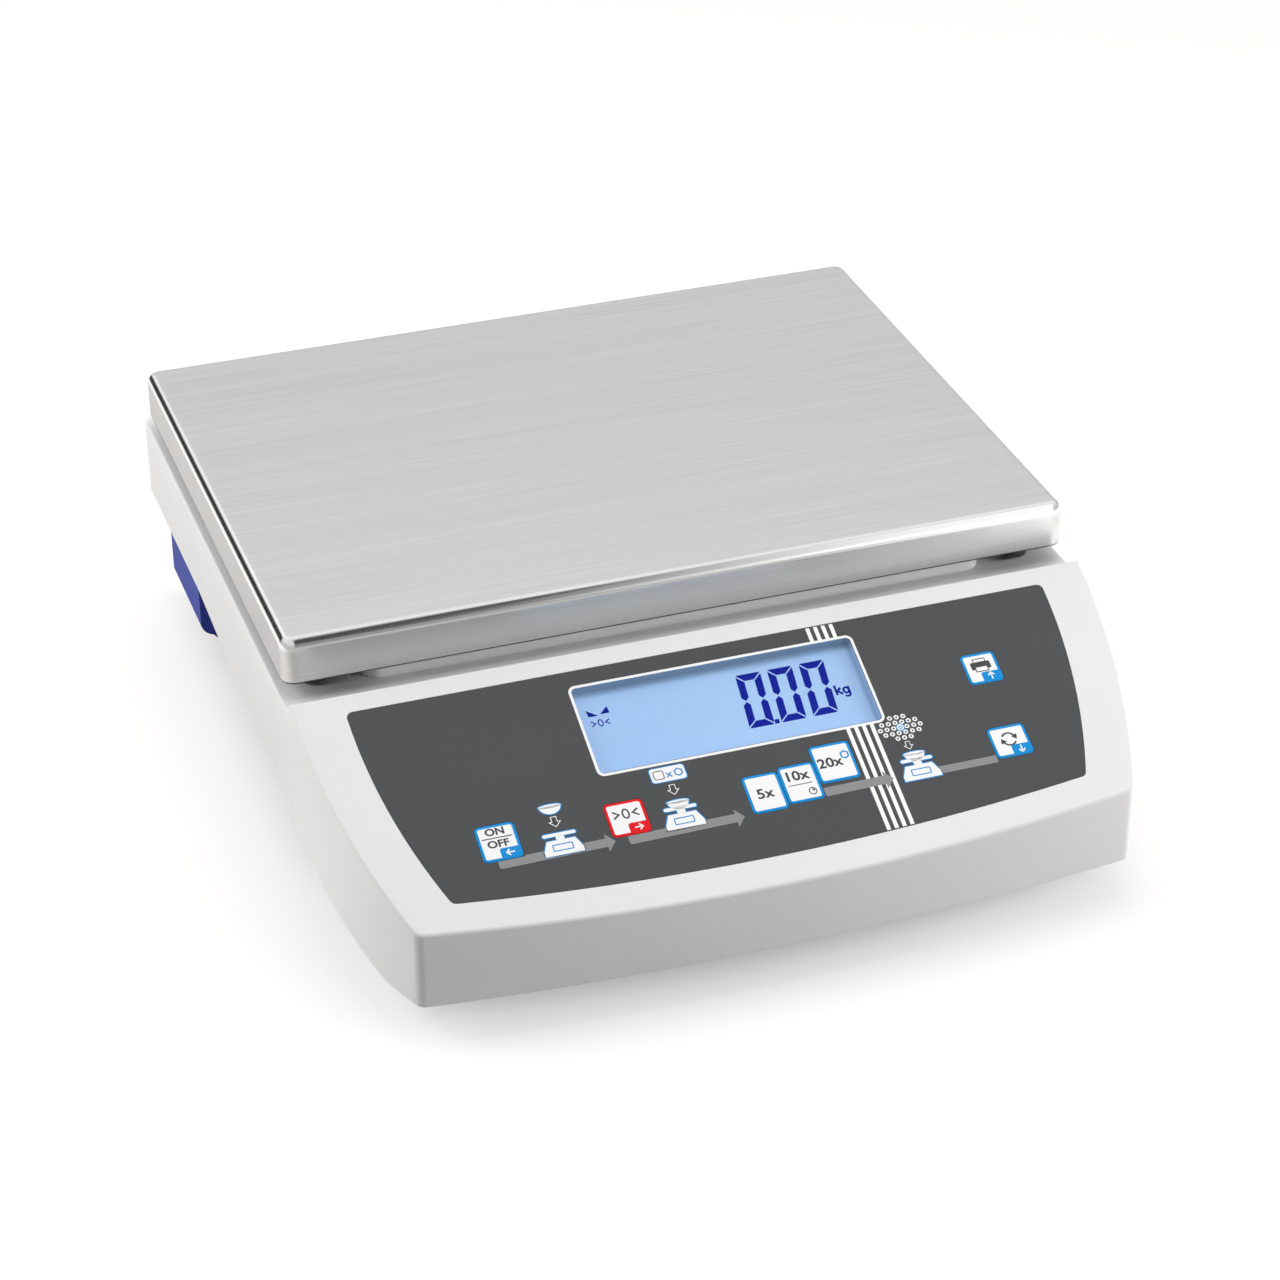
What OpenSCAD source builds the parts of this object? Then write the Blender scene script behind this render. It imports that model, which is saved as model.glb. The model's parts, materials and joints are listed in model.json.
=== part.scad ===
// Counting scale for a bench: a stainless weighing plate on a load cell, in a
// two-part plastic housing with a sloping display and keypad at the front.
// Origin: middle of the footprint, on the bench. +X right, +Y to the back, +Z up.

/* [Weighing plate] */
// Width of the plate
plate_w = 340; // [330:1:340]
// Depth of the plate
plate_d = 252; // [240:1:252]
// Height of the plate's folded skirt
plate_h = 20; // [18:0.5:22]
// Thickness of the plate's sheet
plate_t = 1.2; // [0.8:0.1:1.6]
// Height of the plate's top above the bench
overall_h = 120; // [119:0.5:122]
// Radius of the plate's upright corners
plate_corner_r = 6; // [4:0.5:8]

/* [Housing] */
// Width of the housing
shell_w = 342.4; // [342:0.2:346]
// Depth of the housing, front to back
shell_d = 385; // [383:1:388]
// Wall thickness of the plastic shells
wall = 2.5; // [2:0.25:3]
// Height of the deck under the weighing plate
deck_z = 92.4; // [91:0.2:93]
// Height of the housing's lower edge at the back
skirt_z = 56.4; // [54:0.2:58]
// Height of the housing's lower edge at the front
front_z = 18.5; // [18:0.5:20]
// Height of the base tray's underside
tray_z = 17; // [16.5:0.5:17.5]

/* [Display panel] */
// Slope of the panel, in degrees
panel_tilt = 24.2; // [22:0.2:26]
// Distance from the middle of the footprint to the panel's top edge
ridge_run = 79.6; // [78:0.2:81]
// Height of the panel's top edge above the deck
ridge_rise = 6.9; // [6:0.1:8]
// Radius of the arcs that draw in the sides of the panel
side_r = 268; // [260:1:280]
// Radius of the long arc along the front
front_r = 1230; // [1150:10:1400]
// Width of the display window
window_w = 121.4; // [118:0.2:122]
// Height of the display window, along the slope
window_h = 41.8; // [40:0.2:42]
// Travel of each key
key_travel = 0.3; // [0.2:0.05:0.35]

/* [Feet] */
// Radius of each rubber foot
foot_r = 14; // [12:0.5:15]
// Radius of the foot's threaded stud
stud_r = 3.92; // [3.9:0.01:3.96]

/* [Hidden] */

$fn = 48;
eps = 0.01;

// Housing
half_w = shell_w / 2;
back_y = shell_d / 2;
front_y = -shell_d / 2;
ridge_y = -ridge_run;
ridge_z = deck_z + ridge_rise;
ridge_slope_run = 5;
corner_r = 5;
shell_gap = 0.5;
edge_flat_y = 90;
edge_kink = [-86, 39.6];
edge_front_y = -162;
far = 260;

// Weighing plate and its place over the deck
plate_y = 59;
plate_z = overall_h - plate_h;
bend_r = 4.2;

// Raised block of the deck, inside the plate's skirt
block_w = 271;
block_front = -61.5;
block_back = 179.5;
block_z = 103.5;
block_r = 8;
trough_w = 20;
trough_x = 149;
trough_depth = 6;

// Load cell and what it stands on
floor_z = tray_z + wall;
base_plate_z = 24;
base_plate_t = 3;
base_plate_w = 64;
base_plate_d = 158;
spacer_t = 6;
cell_w = 30;
cell_d = 130;
cell_h = 22;
cell_z = base_plate_z + base_plate_t + spacer_t;
cell_top = cell_z + cell_h;
fixed_bolts = [102, 117];
free_bolts = [1, 16];
carrier_z = 105;
carrier_t = 5;
column_w = 34;
column_d = 34;
column_y = 8.5;
hub_w = 110;
hub_d = 90;
arm_reach = [128, 97];
arm_w = 18;
buffer_r = 8;
buffer_z = 112;

// Keypad and display, measured on the panel: x across, s down the slope
overlay_w = 300.6;
overlay_top = 8.8;
overlay_foot = 110.5;
overlay_side_r = 263.4;
overlay_front_r = 1136;
overlay_corner_r = 2.6;
film_t = 0.45;
recess_depth = 1.5;
film_top = -0.05;
circuit_t = 0.3;
spacer_top = film_top - film_t - eps;
window_s = 37.6;
window_r = 2.5;
lcd_n = -4;
lcd_w = 128;
lcd_h = 48;
board_n = -9.4;
board_w = 152;
board_h = 62;
board_s = 40;
tail_x = 58;
tail_s = 66;

// Each key: name, x, s, width, height
KEYS = [
    ["on_off", -108, 80, 16.2, 16.4],
    ["tare", -55.5, 80.6, 16.2, 15.6],
    ["count_5", 2, 81.6, 15.2, 17.6],
    ["count_10", 17.6, 80.3, 15.4, 17.6],
    ["count_20", 34.2, 73.9, 17.2, 17.8],
    ["print", 110, 43.7, 15, 14.8],
    ["unit", 108.6, 80.1, 16.2, 14.8]
];
key_r = 2;
key_gap = 0.15;
dome_r = 4;
dome_h = 0.25;

// Feet, fasteners and boards
FEET = [[-124, -146], [124, -146], [-142, 148], [142, 148]];
pod_w = 332;
pod_back = 175;
pod_front = 119;
pod_sweep = 22;
pod_edge_r = 5;
core_w = 280;
core_back = 186;
core_r = 6;
grip_lift = 2;
insert_r = 6;
insert_bore_r = 4;
insert_h = 12;
SCREWS = [[-130, -128], [130, -128], [-130, 40], [130, 40], [-28, 176], [28, 176]];
boss_r = 4.5;
boss_split_z = 46;
main_x = -84;
main_y = 131;
main_w = 76;
main_d = 94;
main_z = 30;
pcb_t = 1.6;
port_x = -70;
jack_x = -107;
socket_z = 38.5;
battery_x = 80;
battery_y = 70.5;
battery_w = 70;
battery_d = 101;
battery_h = 48;
cover_w = 74;
cover_d = 103;
cover_t = 2.6;
cover_z = 14.2;
cover_gap = 0.2;
battery_z = cover_z + cover_t + 0.1;
rail_t = 1.8;
rail_z = 12.4;
level_y = 160;
level_r = 9.8;

PLASTIC_LIGHT = [0.90, 0.90, 0.89];
PLASTIC_BLUE = [0.13, 0.18, 0.50];
STEEL = [0.76, 0.76, 0.76];
GREY_FILM = [0.31, 0.32, 0.32];
BOARD_GREEN = [0.10, 0.35, 0.18];
RUBBER = [0.12, 0.12, 0.12];
ALUMINIUM = [0.80, 0.81, 0.83];

// ---------------------------------------------------------------- outlines

function arc(c, r, a0, a1, n) =
    [for (i = [0:n]) let (a = a0 + (a1 - a0) * i / n) [c[0] + r * cos(a), c[1] + r * sin(a)]];

// Centre of a corner arc that touches the side arc and the front arc from inside
function corner_centre(cs, rs, cf, rf) =
    let (
        d = norm(cf - cs),
        a = (rs * rs - rf * rf + d * d) / (2 * d),
        h = sqrt(rs * rs - a * a),
        u = (cf - cs) / d
    )
    cs + a * u + h * [u[1], -u[0]];

// Right half of an apron shape: straight back, arc down the side, long front arc.
// t draws the whole outline in.
function apron_half(w, back, start, front, rs, rf, rb, rc, t) =
    let (
        cs = [w - rs, start],
        cf = [0, front + rf],
        p = corner_centre(cs, rs - rc, cf, rf - rc),
        side_start = asin(min(0, back - rb - start) / (rs - rb)),
        side_end = atan2(p[1] - cs[1], p[0] - cs[0]),
        front_start = atan2(p[1] - cf[1], p[0] - cf[0])
    )
    concat(
        arc([cs[0] + (rs - rb) * cos(side_start), back - rb], max(rb - t, 0.1), 90, side_start, 5),
        arc(cs, rs - t, side_start, side_end, 12),
        arc(p, max(rc - t, 0.1), side_end, front_start, 6),
        arc(cf, rf - t, front_start, -90, 8)
    );

module apron(w, back, start, front, rs, rf, rb, rc, t) {
    right = apron_half(w, back, start, front, rs, rf, rb, rc, t);
    left = [for (i = [len(right) - 2:-1:0]) [-right[i][0], right[i][1]]];
    polygon(concat(right, left));
}

module shell_plan(t) {
    apron(half_w, back_y, ridge_y, front_y, side_r, front_r, corner_r, corner_r, t);
}

module overlay_plan(t) {
    apron(overlay_w / 2, -overlay_top, -overlay_top, -overlay_foot,
        overlay_side_r, overlay_front_r, overlay_corner_r, overlay_corner_r, t);
}

module rounded_rect(w, d, r) {
    hull_w = w - 2 * r;
    hull_d = d - 2 * r;
    square([hull_w, d], center = true);
    square([w, hull_d], center = true);
    for (x = [-1, 1], y = [-1, 1]) {
        translate([x * hull_w / 2, y * hull_d / 2]) circle(r);
    }
}

module rounded_slab(w, d, h, r) {
    linear_extrude(h) rounded_rect(w, d, r);
}

// Turns a profile drawn in (y, z) into a wall to wall block
module across(width) {
    rotate([90, 0, 90]) translate([0, 0, -width / 2]) linear_extrude(width) children();
}

// Places children on the display panel: x across, -y down the slope, z out of it
module on_panel() {
    translate([0, ridge_y, ridge_z]) rotate([panel_tilt, 0, 0]) children();
}

function panel_z(y) = ridge_z + tan(panel_tilt) * (y - ridge_y);

// Side profile of the housing's outside
module side_profile() {
    polygon([
        [back_y, deck_z],
        [ridge_y + ridge_slope_run, deck_z],
        [ridge_y, ridge_z],
        [-far, panel_z(-far)],
        [-far, front_z],
        [edge_front_y, front_z],
        edge_kink,
        [edge_flat_y, skirt_z],
        [back_y, skirt_z]
    ]);
}

// Side profile of the room inside, t below the outside and open at the bottom
module room_profile(t) {
    drop = t / cos(panel_tilt);
    polygon([
        [back_y, deck_z - t],
        [ridge_y + ridge_slope_run - t / 2, deck_z - t],
        [ridge_y - t / 4, panel_z(ridge_y - t / 4) - drop],
        [-far, panel_z(-far) - drop],
        [-far, 0],
        [back_y, 0]
    ]);
}

module shell_solid() {
    intersection() {
        across(2 * far) side_profile();
        linear_extrude(2 * far) shell_plan(0);
    }
}

module room_solid(t) {
    intersection() {
        across(2 * far) room_profile(t);
        linear_extrude(2 * far) shell_plan(t);
    }
}

module block_plan(t) {
    translate([0, (block_front + block_back) / 2]) {
        rounded_rect(block_w - 2 * t, block_back - block_front - 2 * t, block_r - t);
    }
}

module tube(r, bore_r, h) {
    difference() {
        cylinder(r = r, h = h);
        translate([0, 0, -eps]) cylinder(r = bore_r, h = h + 2 * eps);
    }
}

// ---------------------------------------------------------------- plate and carrier

// Profile of the folded sheet: upright sides, rounded into the flat top
module fold_profile(w, t) {
    reach = w / 2 - t;
    r = bend_r - t;
    top = overall_h - t;
    right = arc([reach - r, top - r], r, 0, 90, 6);
    left = arc([-reach + r, top - r], r, 90, 180, 6);
    polygon(concat([[reach, plate_z - 1]], right, left, [[-reach, plate_z - 1]]));
}

// The plate as a full block, drawn in by t
module plate_block(t, bottom) {
    translate([0, plate_y, 0]) intersection() {
        rotate([90, 0, 0]) translate([0, 0, -plate_d]) linear_extrude(2 * plate_d) fold_profile(plate_w, t);
        across(2 * plate_w) fold_profile(plate_d, t);
        translate([0, 0, bottom]) {
            rounded_slab(plate_w - 2 * t, plate_d - 2 * t, overall_h - bottom, plate_corner_r - t);
        }
    }
}

module weighing_plate() {
    color(STEEL) difference() {
        plate_block(0, plate_z);
        plate_block(plate_t, plate_z - 1);
    }
}

module carrier_arm(sx, sy) {
    tip = [sx * arm_reach[0], plate_y + sy * arm_reach[1]];
    root = [sx * 40, plate_y + sy * 30];
    run = tip - root;
    translate([root[0], root[1], carrier_z]) rotate([0, 0, atan2(run[1], run[0])]) {
        translate([0, -arm_w / 2, 0]) cube([norm(run), arm_w, carrier_t]);
        translate([0, -2, 0]) cube([norm(run) - buffer_r - 1, 4, carrier_t + 3]);
    }
    translate([tip[0], tip[1], carrier_z]) cylinder(r = arm_w / 2 + 1, h = buffer_z - carrier_z);
}

module pan_carrier() {
    color(ALUMINIUM) difference() {
        union() {
            translate([0, plate_y, carrier_z]) rounded_slab(hub_w, hub_d, carrier_t, 8);
            translate([0, column_y, cell_top + spacer_t]) {
                rounded_slab(column_w, column_d, carrier_z + carrier_t - cell_top - spacer_t, 4);
            }
            translate([-column_w / 2, column_y, carrier_z]) cube([column_w, hub_d / 2, carrier_t]);
            for (sx = [-1, 1], sy = [-1, 1]) carrier_arm(sx, sy);
        }
        for (y = free_bolts) {
            translate([0, y, cell_top]) cylinder(r = 3.3, h = 60);
            translate([0, y, cell_top + spacer_t + 7]) cylinder(r = 6, h = 60);
        }
        for (sx = [-1, 1]) {
            translate([sx * 34, plate_y + 8, carrier_z - 1]) rounded_slab(22, 50, carrier_t + 2, 5);
        }
    }
}

module pan_buffers() {
    color(RUBBER) for (sx = [-1, 1], sy = [-1, 1]) {
        translate([sx * arm_reach[0], plate_y + sy * arm_reach[1], buffer_z]) {
            cylinder(r = buffer_r, h = overall_h - plate_t - buffer_z);
        }
    }
}

module carrier_spacer() {
    color(ALUMINIUM) translate([0, 0, cell_top]) difference() {
        translate([0, column_y, 0]) rounded_slab(cell_w - 2, column_d - 4, spacer_t, 2);
        for (y = free_bolts) translate([0, y, -1]) cylinder(r = 3.3, h = spacer_t + 2);
    }
}

module cap_screw(r, length, head_r, head_h) {
    translate([0, 0, -length]) cylinder(r = r, h = length + eps);
    difference() {
        cylinder(r = head_r, h = head_h);
        translate([0, 0, head_h / 2]) cylinder(r = head_r / 2, h = head_h, $fn = 6);
    }
}

module carrier_bolts() {
    color("dimgray") for (y = free_bolts) {
        translate([0, y, cell_top + spacer_t + 7]) cap_screw(2.95, 30, 5, 6);
    }
}

// ---------------------------------------------------------------- housing

module top_boss(x, y) {
    translate([x, y, boss_split_z]) cylinder(r = boss_r, h = deck_z + 2 - boss_split_z);
}

module panel_bosses(r, n0, n1) {
    for (sx = [-1, 1], sy = [-1, 1]) {
        translate([sx * (board_w / 2 - 4), -board_s + sy * (board_h / 2 - 4), n0]) {
            cylinder(r = r, h = n1 - n0);
        }
    }
}

module trough(t) {
    for (sx = [-1, 1]) {
        translate([sx * trough_x, plate_y, deck_z - trough_depth - t]) {
            rounded_slab(trough_w + 2 * t, plate_d - 16 + 2 * t, trough_depth + 2 * t, 6 + t);
        }
    }
}

module top_housing() {
    color(PLASTIC_LIGHT) difference() {
        union() {
            difference() {
                union() {
                    shell_solid();
                    translate([0, 0, deck_z - wall]) linear_extrude(block_z - deck_z + wall) block_plan(0);
                }
                room_solid(wall);
                translate([0, 0, deck_z - wall - 1]) linear_extrude(block_z - deck_z + 1) block_plan(wall);
            }
            intersection() {
                trough(wall);
                translate([0, 0, deck_z / 2]) linear_extrude(deck_z / 2) shell_plan(1);
            }
            intersection() {
                union() {
                    for (s = SCREWS) top_boss(s[0], s[1]);
                    on_panel() panel_bosses(3.2, board_n, -1);
                }
                union() {
                    room_solid(1);
                    translate([0, 0, deck_z - 2 * wall]) linear_extrude(2 * wall) block_plan(1);
                }
            }
        }
        trough(0);
        for (s = SCREWS) translate([s[0], s[1], boss_split_z - 1]) cylinder(r = 1.7, h = 25);
        translate([0, column_y, deck_z]) rounded_slab(column_w + 8, column_d + 8, 20, 6);
        translate([0, level_y, block_z - 10]) cylinder(r = level_r + 0.3, h = 20);
        on_panel() {
            translate([0, 0, -recess_depth]) linear_extrude(10) overlay_plan(-0.2);
            translate([0, -window_s, -6]) rounded_slab(window_w + 1, window_h + 1, 10, window_r);
            translate([tail_x - 7, -tail_s, -6]) cube([14, 1.2, 10]);
            panel_bosses(1.2, board_n - 1, -3);
        }
    }
}

// Plan of the tray's middle, between the hand grips
module core_plan(t) {
    intersection() {
        shell_plan(wall + shell_gap + t);
        translate([0, core_back - far - t]) rounded_rect(core_w - 2 * t, 2 * far, core_r);
    }
}

// Plan of the two rear wings that hold the back feet
module pod_plan(t) {
    inner_x = core_w / 2 - 12;
    reach = pod_w / 2 - t;
    sweep_y = (pod_w / 2 - inner_x) * tan(pod_sweep);
    for (sx = [-1, 1]) {
        polygon([
            [sx * inner_x, pod_back - t],
            [sx * reach, pod_back - t],
            [sx * reach, pod_front + t],
            [sx * inner_x, pod_front - sweep_y + t]
        ]);
    }
}

// Cross-section of the wings, with a rounded lower edge
module pod_section(t) {
    reach = pod_w / 2 - t;
    r = pod_edge_r;
    translate([-reach, tray_z + r + t]) square([2 * reach, skirt_z]);
    translate([-reach + r, tray_z + t]) square([2 * (reach - r), 2 * r]);
    for (sx = [-1, 1]) translate([sx * (reach - r), tray_z + r + t]) circle(r);
}

module pods(t) {
    intersection() {
        translate([0, 0, tray_z]) linear_extrude(skirt_z + grip_lift + wall - 0.5 - tray_z) pod_plan(t);
        translate([0, back_y, 0]) rotate([90, 0, 0]) linear_extrude(2 * back_y) pod_section(t);
    }
}

// Closes the housing's sides just above their lower edge, over the hand grips
module grip_roof_profile() {
    edge = [[back_y, skirt_z], [edge_flat_y, skirt_z], edge_kink, [edge_front_y, front_z], [-far, front_z]];
    lift = [0, grip_lift];
    polygon(concat(
        [for (p = edge) p + lift],
        [for (i = [len(edge) - 1:-1:0]) edge[i] + lift + [0, wall]]
    ));
}

module tray_body() {
    roof_z = skirt_z + grip_lift;
    difference() {
        union() {
            translate([0, 0, tray_z]) linear_extrude(roof_z + wall - tray_z) core_plan(0);
            pods(0);
            across(pod_w + 10) grip_roof_profile();
        }
        translate([0, 0, floor_z]) linear_extrude(far) core_plan(wall);
        pods(wall);
    }
}

module battery_rails() {
    rail_d = cover_d + 2;
    for (sx = [-1, 1]) {
        translate([battery_x + sx * (cover_w / 2 + cover_gap + rail_t / 2), battery_y, 0]) {
            translate([-rail_t / 2, -rail_d / 2, rail_z]) cube([rail_t, rail_d, tray_z - rail_z + 0.5]);
            lip_x = sx > 0 ? -rail_t / 2 - 3 : -rail_t / 2;
            translate([lip_x, -rail_d / 2, rail_z]) {
                cube([rail_t + 3, rail_d, cover_z - cover_gap - rail_z]);
            }
        }
    }
    translate([battery_x - cover_w / 2, battery_y + cover_d / 2 + cover_gap, rail_z]) {
        cube([cover_w, rail_t, tray_z - rail_z + 0.5]);
    }
}

module base_tray() {
    color(PLASTIC_BLUE) difference() {
        union() {
            difference() {
                intersection() {
                    tray_body();
                    room_solid(wall + shell_gap);
                }
                translate([port_x - 17, core_back - 10, socket_z - 7]) cube([34, 20, 14]);
                translate([jack_x, core_back + 1, socket_z]) rotate([90, 0, 0]) cylinder(r = 5.4, h = 10);
            }
            for (f = FEET) translate([f[0], f[1], tray_z]) cylinder(r = 10, h = 20);
            for (s = SCREWS) translate([s[0], s[1], tray_z]) cylinder(r = 6, h = boss_split_z - tray_z - 0.1);
            for (p = plate_posts()) translate([p[0], p[1], tray_z]) cylinder(r = 6, h = base_plate_z - tray_z);
            for (p = board_posts()) translate([p[0], p[1], tray_z]) cylinder(r = 3.5, h = main_z - tray_z);
            for (p = strap_posts()) translate([p[0], p[1], tray_z]) cylinder(r = 4, h = 30 - tray_z);
            battery_rails();
        }
        for (f = FEET) {
            translate([f[0], f[1], tray_z - 1]) cylinder(r = insert_bore_r + 0.4, h = 30);
            translate([f[0], f[1], tray_z + 20 - insert_h]) cylinder(r = insert_r, h = 30);
        }
        for (s = SCREWS) {
            translate([s[0], s[1], tray_z - 1]) cylinder(r = 4.2, h = 22);
            translate([s[0], s[1], tray_z]) cylinder(r = 2.2, h = 40);
        }
        for (p = plate_posts()) translate([p[0], p[1], floor_z]) cylinder(r = 1.7, h = 20);
        for (p = board_posts()) translate([p[0], p[1], floor_z]) cylinder(r = 1.25, h = 20);
        for (p = strap_posts()) translate([p[0], p[1], floor_z]) cylinder(r = 1.5, h = 20);
        translate([battery_x, battery_y, tray_z - 1]) rounded_slab(battery_w + 1.5, battery_d + 1.5, wall + 2, 2);
    }
}

module housing_screws() {
    color("gray") for (s = SCREWS) {
        translate([s[0], s[1], tray_z + 21]) rotate([180, 0, 0]) cap_screw(1.65, 22, 3.6, 2.6);
    }
}

// ---------------------------------------------------------------- keypad and display

module key_windows(grow) {
    for (k = KEYS) {
        translate([k[1], -k[2]]) rounded_rect(k[3] + 2 * grow, k[4] + 2 * grow, key_r + grow);
    }
}

module keypad_overlay() {
    color(GREY_FILM) on_panel() translate([0, 0, film_top - film_t]) linear_extrude(film_t) difference() {
        overlay_plan(0);
        translate([0, -window_s]) rounded_rect(window_w + 0.1, window_h + 0.1, window_r);
        key_windows(key_gap);
    }
}

module display_window() {
    color([0.75, 0.85, 0.95, 0.4]) on_panel() {
        translate([0, -window_s, film_top - film_t]) rounded_slab(window_w, window_h, film_t, window_r);
    }
}

module keypad_circuit() {
    base_n = -recess_depth + eps;
    color("ivory") on_panel() difference() {
        union() {
            translate([0, 0, base_n]) linear_extrude(spacer_top - base_n) overlay_plan(0.5);
            translate([tail_x - 6, -tail_s + 0.4, board_n]) cube([12, 0.4, base_n - board_n + 0.1]);
        }
        translate([0, -window_s, -5]) rounded_slab(window_w + 1, window_h + 1, 8, window_r);
        translate([0, 0, base_n + circuit_t]) linear_extrude(5) key_windows(0.4);
    }
}

module key_domes() {
    color("silver") on_panel() for (k = KEYS) {
        translate([k[1], -k[2], -recess_depth + circuit_t + 2 * eps]) {
            cylinder(r1 = dome_r, r2 = dome_r / 2, h = dome_h);
        }
    }
}

module key(i) {
    k = KEYS[i];
    nub_h = recess_depth + film_top - film_t - circuit_t - dome_h - key_travel - 0.08;
    color("white") on_panel() translate([k[1], -k[2], film_top - film_t]) {
        rounded_slab(k[3], k[4], film_t, key_r);
        translate([0, 0, -nub_h]) cylinder(r = 3, h = nub_h + eps);
    }
}

module key_on_off() {
    key(0);
}
module key_tare() {
    key(1);
}
module key_count_5() {
    key(2);
}
module key_count_10() {
    key(3);
}
module key_count_20() {
    key(4);
}
module key_print() {
    key(5);
}
module key_unit() {
    key(6);
}

module lcd_glass() {
    color([0.65, 0.80, 0.95, 0.6]) on_panel() {
        translate([0, -window_s, lcd_n - 2.2]) rounded_slab(lcd_w, lcd_h, 2.2, 1);
    }
}

module lcd_backlight() {
    color([0.70, 0.85, 1]) on_panel() {
        translate([0, -window_s, lcd_n - 5.2]) rounded_slab(lcd_w - 2, lcd_h - 2, 3 - eps, 1);
    }
}

module lcd_frame() {
    color("black") on_panel() translate([0, -window_s, 0]) difference() {
        translate([0, 0, board_n + eps]) rounded_slab(lcd_w + 6, lcd_h + 5, -board_n - wall - 0.1, 2);
        translate([0, 0, board_n - 1]) rounded_slab(lcd_w + 0.4, lcd_h + 0.4, lcd_n - board_n + 1.1, 1);
        translate([0, 0, board_n]) rounded_slab(window_w + 2, window_h + 2, 20, window_r);
    }
}

module display_board() {
    color(BOARD_GREEN) on_panel() {
        difference() {
            translate([0, -board_s, board_n - pcb_t]) rounded_slab(board_w, board_h, pcb_t, 1);
            panel_bosses(1.5, board_n - 5, 0);
        }
        translate([40, -board_s + 6, board_n - pcb_t - 1.6]) cube([14, 14, 1.6 + eps]);
        translate([-30, -board_s - 12, board_n - pcb_t - 6]) cube([26, 6, 6 + eps]);
    }
}

module display_board_screws() {
    color("silver") on_panel() for (sx = [-1, 1], sy = [-1, 1]) {
        translate([sx * (board_w / 2 - 4), -board_s + sy * (board_h / 2 - 4), board_n - pcb_t]) {
            rotate([180, 0, 0]) cap_screw(1.15, 6, 2.6, 1.8);
        }
    }
}

// ---------------------------------------------------------------- load cell

function plate_posts() = [for (sx = [-1, 1], sy = [-1, 1])
    [sx * (base_plate_w / 2 - 7), plate_y + sy * (base_plate_d / 2 - 7)]];

module base_plate() {
    color("lightsteelblue") translate([0, 0, base_plate_z]) difference() {
        translate([0, plate_y, 0]) rounded_slab(base_plate_w, base_plate_d, base_plate_t, 4);
        for (p = plate_posts()) translate([p[0], p[1], -1]) cylinder(r = 2.2, h = 10);
        for (y = fixed_bolts) translate([0, y, -1]) cylinder(r = 3.3, h = 10);
        translate([0, column_y, -1]) cylinder(r = 3.05, h = 10);
    }
}

module base_plate_screws() {
    color("silver") for (p = plate_posts()) {
        translate([p[0], p[1], base_plate_z + base_plate_t]) cap_screw(1.65, 7, 3.6, 2.4);
    }
}

module load_cell() {
    hole_r = 7;
    hole_gap = 24;
    mid_z = cell_z + cell_h / 2;
    color(ALUMINIUM) difference() {
        translate([-cell_w / 2, plate_y - cell_d / 2, cell_z]) cube([cell_w, cell_d, cell_h]);
        for (sy = [-1, 1]) {
            translate([0, plate_y + sy * hole_gap / 2, mid_z]) {
                rotate([0, 90, 0]) cylinder(r = hole_r, h = cell_w + 2, center = true);
            }
        }
        translate([0, plate_y, mid_z]) cube([cell_w + 2, hole_gap, 3], center = true);
        for (y = concat(fixed_bolts, free_bolts)) {
            translate([0, y, cell_z - 1]) cylinder(r = 3, h = cell_h + 2);
        }
    }
}

module load_cell_spacer() {
    mid_y = (fixed_bolts[0] + fixed_bolts[1]) / 2;
    color(ALUMINIUM) translate([0, 0, base_plate_z + base_plate_t]) difference() {
        translate([0, mid_y, 0]) rounded_slab(cell_w - 2, 28, spacer_t, 2);
        for (y = fixed_bolts) translate([0, y, -1]) cylinder(r = 3.3, h = spacer_t + 2);
    }
}

module load_cell_bolts() {
    color("dimgray") for (y = fixed_bolts) {
        translate([0, y, base_plate_z]) rotate([180, 0, 0]) cap_screw(2.95, 26, 5, 3.6);
    }
}

module overload_stop() {
    stop_gap = 0.7;
    color("dimgray") translate([0, column_y, base_plate_z - 2]) {
        cylinder(r = 3, h = cell_z - stop_gap - base_plate_z + 2);
        translate([0, 0, base_plate_t + 2]) cylinder(r = 5.5, h = 3.5, $fn = 6);
    }
}

// ---------------------------------------------------------------- cables inside

function unit(v) = v / norm(v);
function tangent(path, i) = unit(path[min(i + 1, len(path) - 1)] - path[max(i - 1, 0)]);

// Points of a smooth curve through four path points
function curve(a, b, c, d, t) =
    0.5 * (2 * b + (c - a) * t + (2 * a - 5 * b + 4 * c - d) * t * t + (3 * b - 3 * c + d - a) * t * t * t);

function smooth(path, n) = concat(
    [for (i = [0:len(path) - 2], j = [0:n - 1])
        curve(path[max(i - 1, 0)], path[i], path[i + 1], path[min(i + 2, len(path) - 1)], j / n)],
    [path[len(path) - 1]]);

// A round lead swept along a path of hand-placed points
module lead(points, r) {
    sides = 8;
    path = smooth(points, 5);
    rings = len(path);
    pts = [for (i = [0:rings - 1], j = [0:sides - 1])
        let (
            t = tangent(path, i),
            u = unit(cross(t, [0.1, 0.2, 1])),
            v = cross(t, u),
            a = 360 * j / sides
        )
        path[i] + r * (cos(a) * u + sin(a) * v)];
    faces = concat(
        [[for (j = [0:sides - 1]) j]],
        [for (i = [0:rings - 2], j = [0:sides - 1])
            [i * sides + j, (i + 1) * sides + j, (i + 1) * sides + (j + 1) % sides, i * sides + (j + 1) % sides]],
        [[for (j = [sides - 1:-1:0]) (rings - 1) * sides + j]]);
    polyhedron(pts, faces);
}

CELL_LEAD = [[0, 124.5, 44], [0, 140, 44], [-12, 150, 38], [-34, 150, 36], [-50, 150, 35]];
DISPLAY_LEAD = [[-17, -118, 63], [-17, -112, 50], [-30, -90, 36], [-50, -40, 30], [-70, 40, 32], [-72, 86, 35]];
BATTERY_LEAD = [[72, 116, 69], [68, 126, 64], [42, 150, 42], [0, 160, 31], [-30, 142, 34], [-50, 136, 36]];

module load_cell_cable() {
    color("gray") lead(CELL_LEAD, 2);
}

module display_cable() {
    color("lightgray") lead(DISPLAY_LEAD, 2.5);
}

module battery_cable() {
    color("red") lead(BATTERY_LEAD, 1.6);
}

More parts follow.
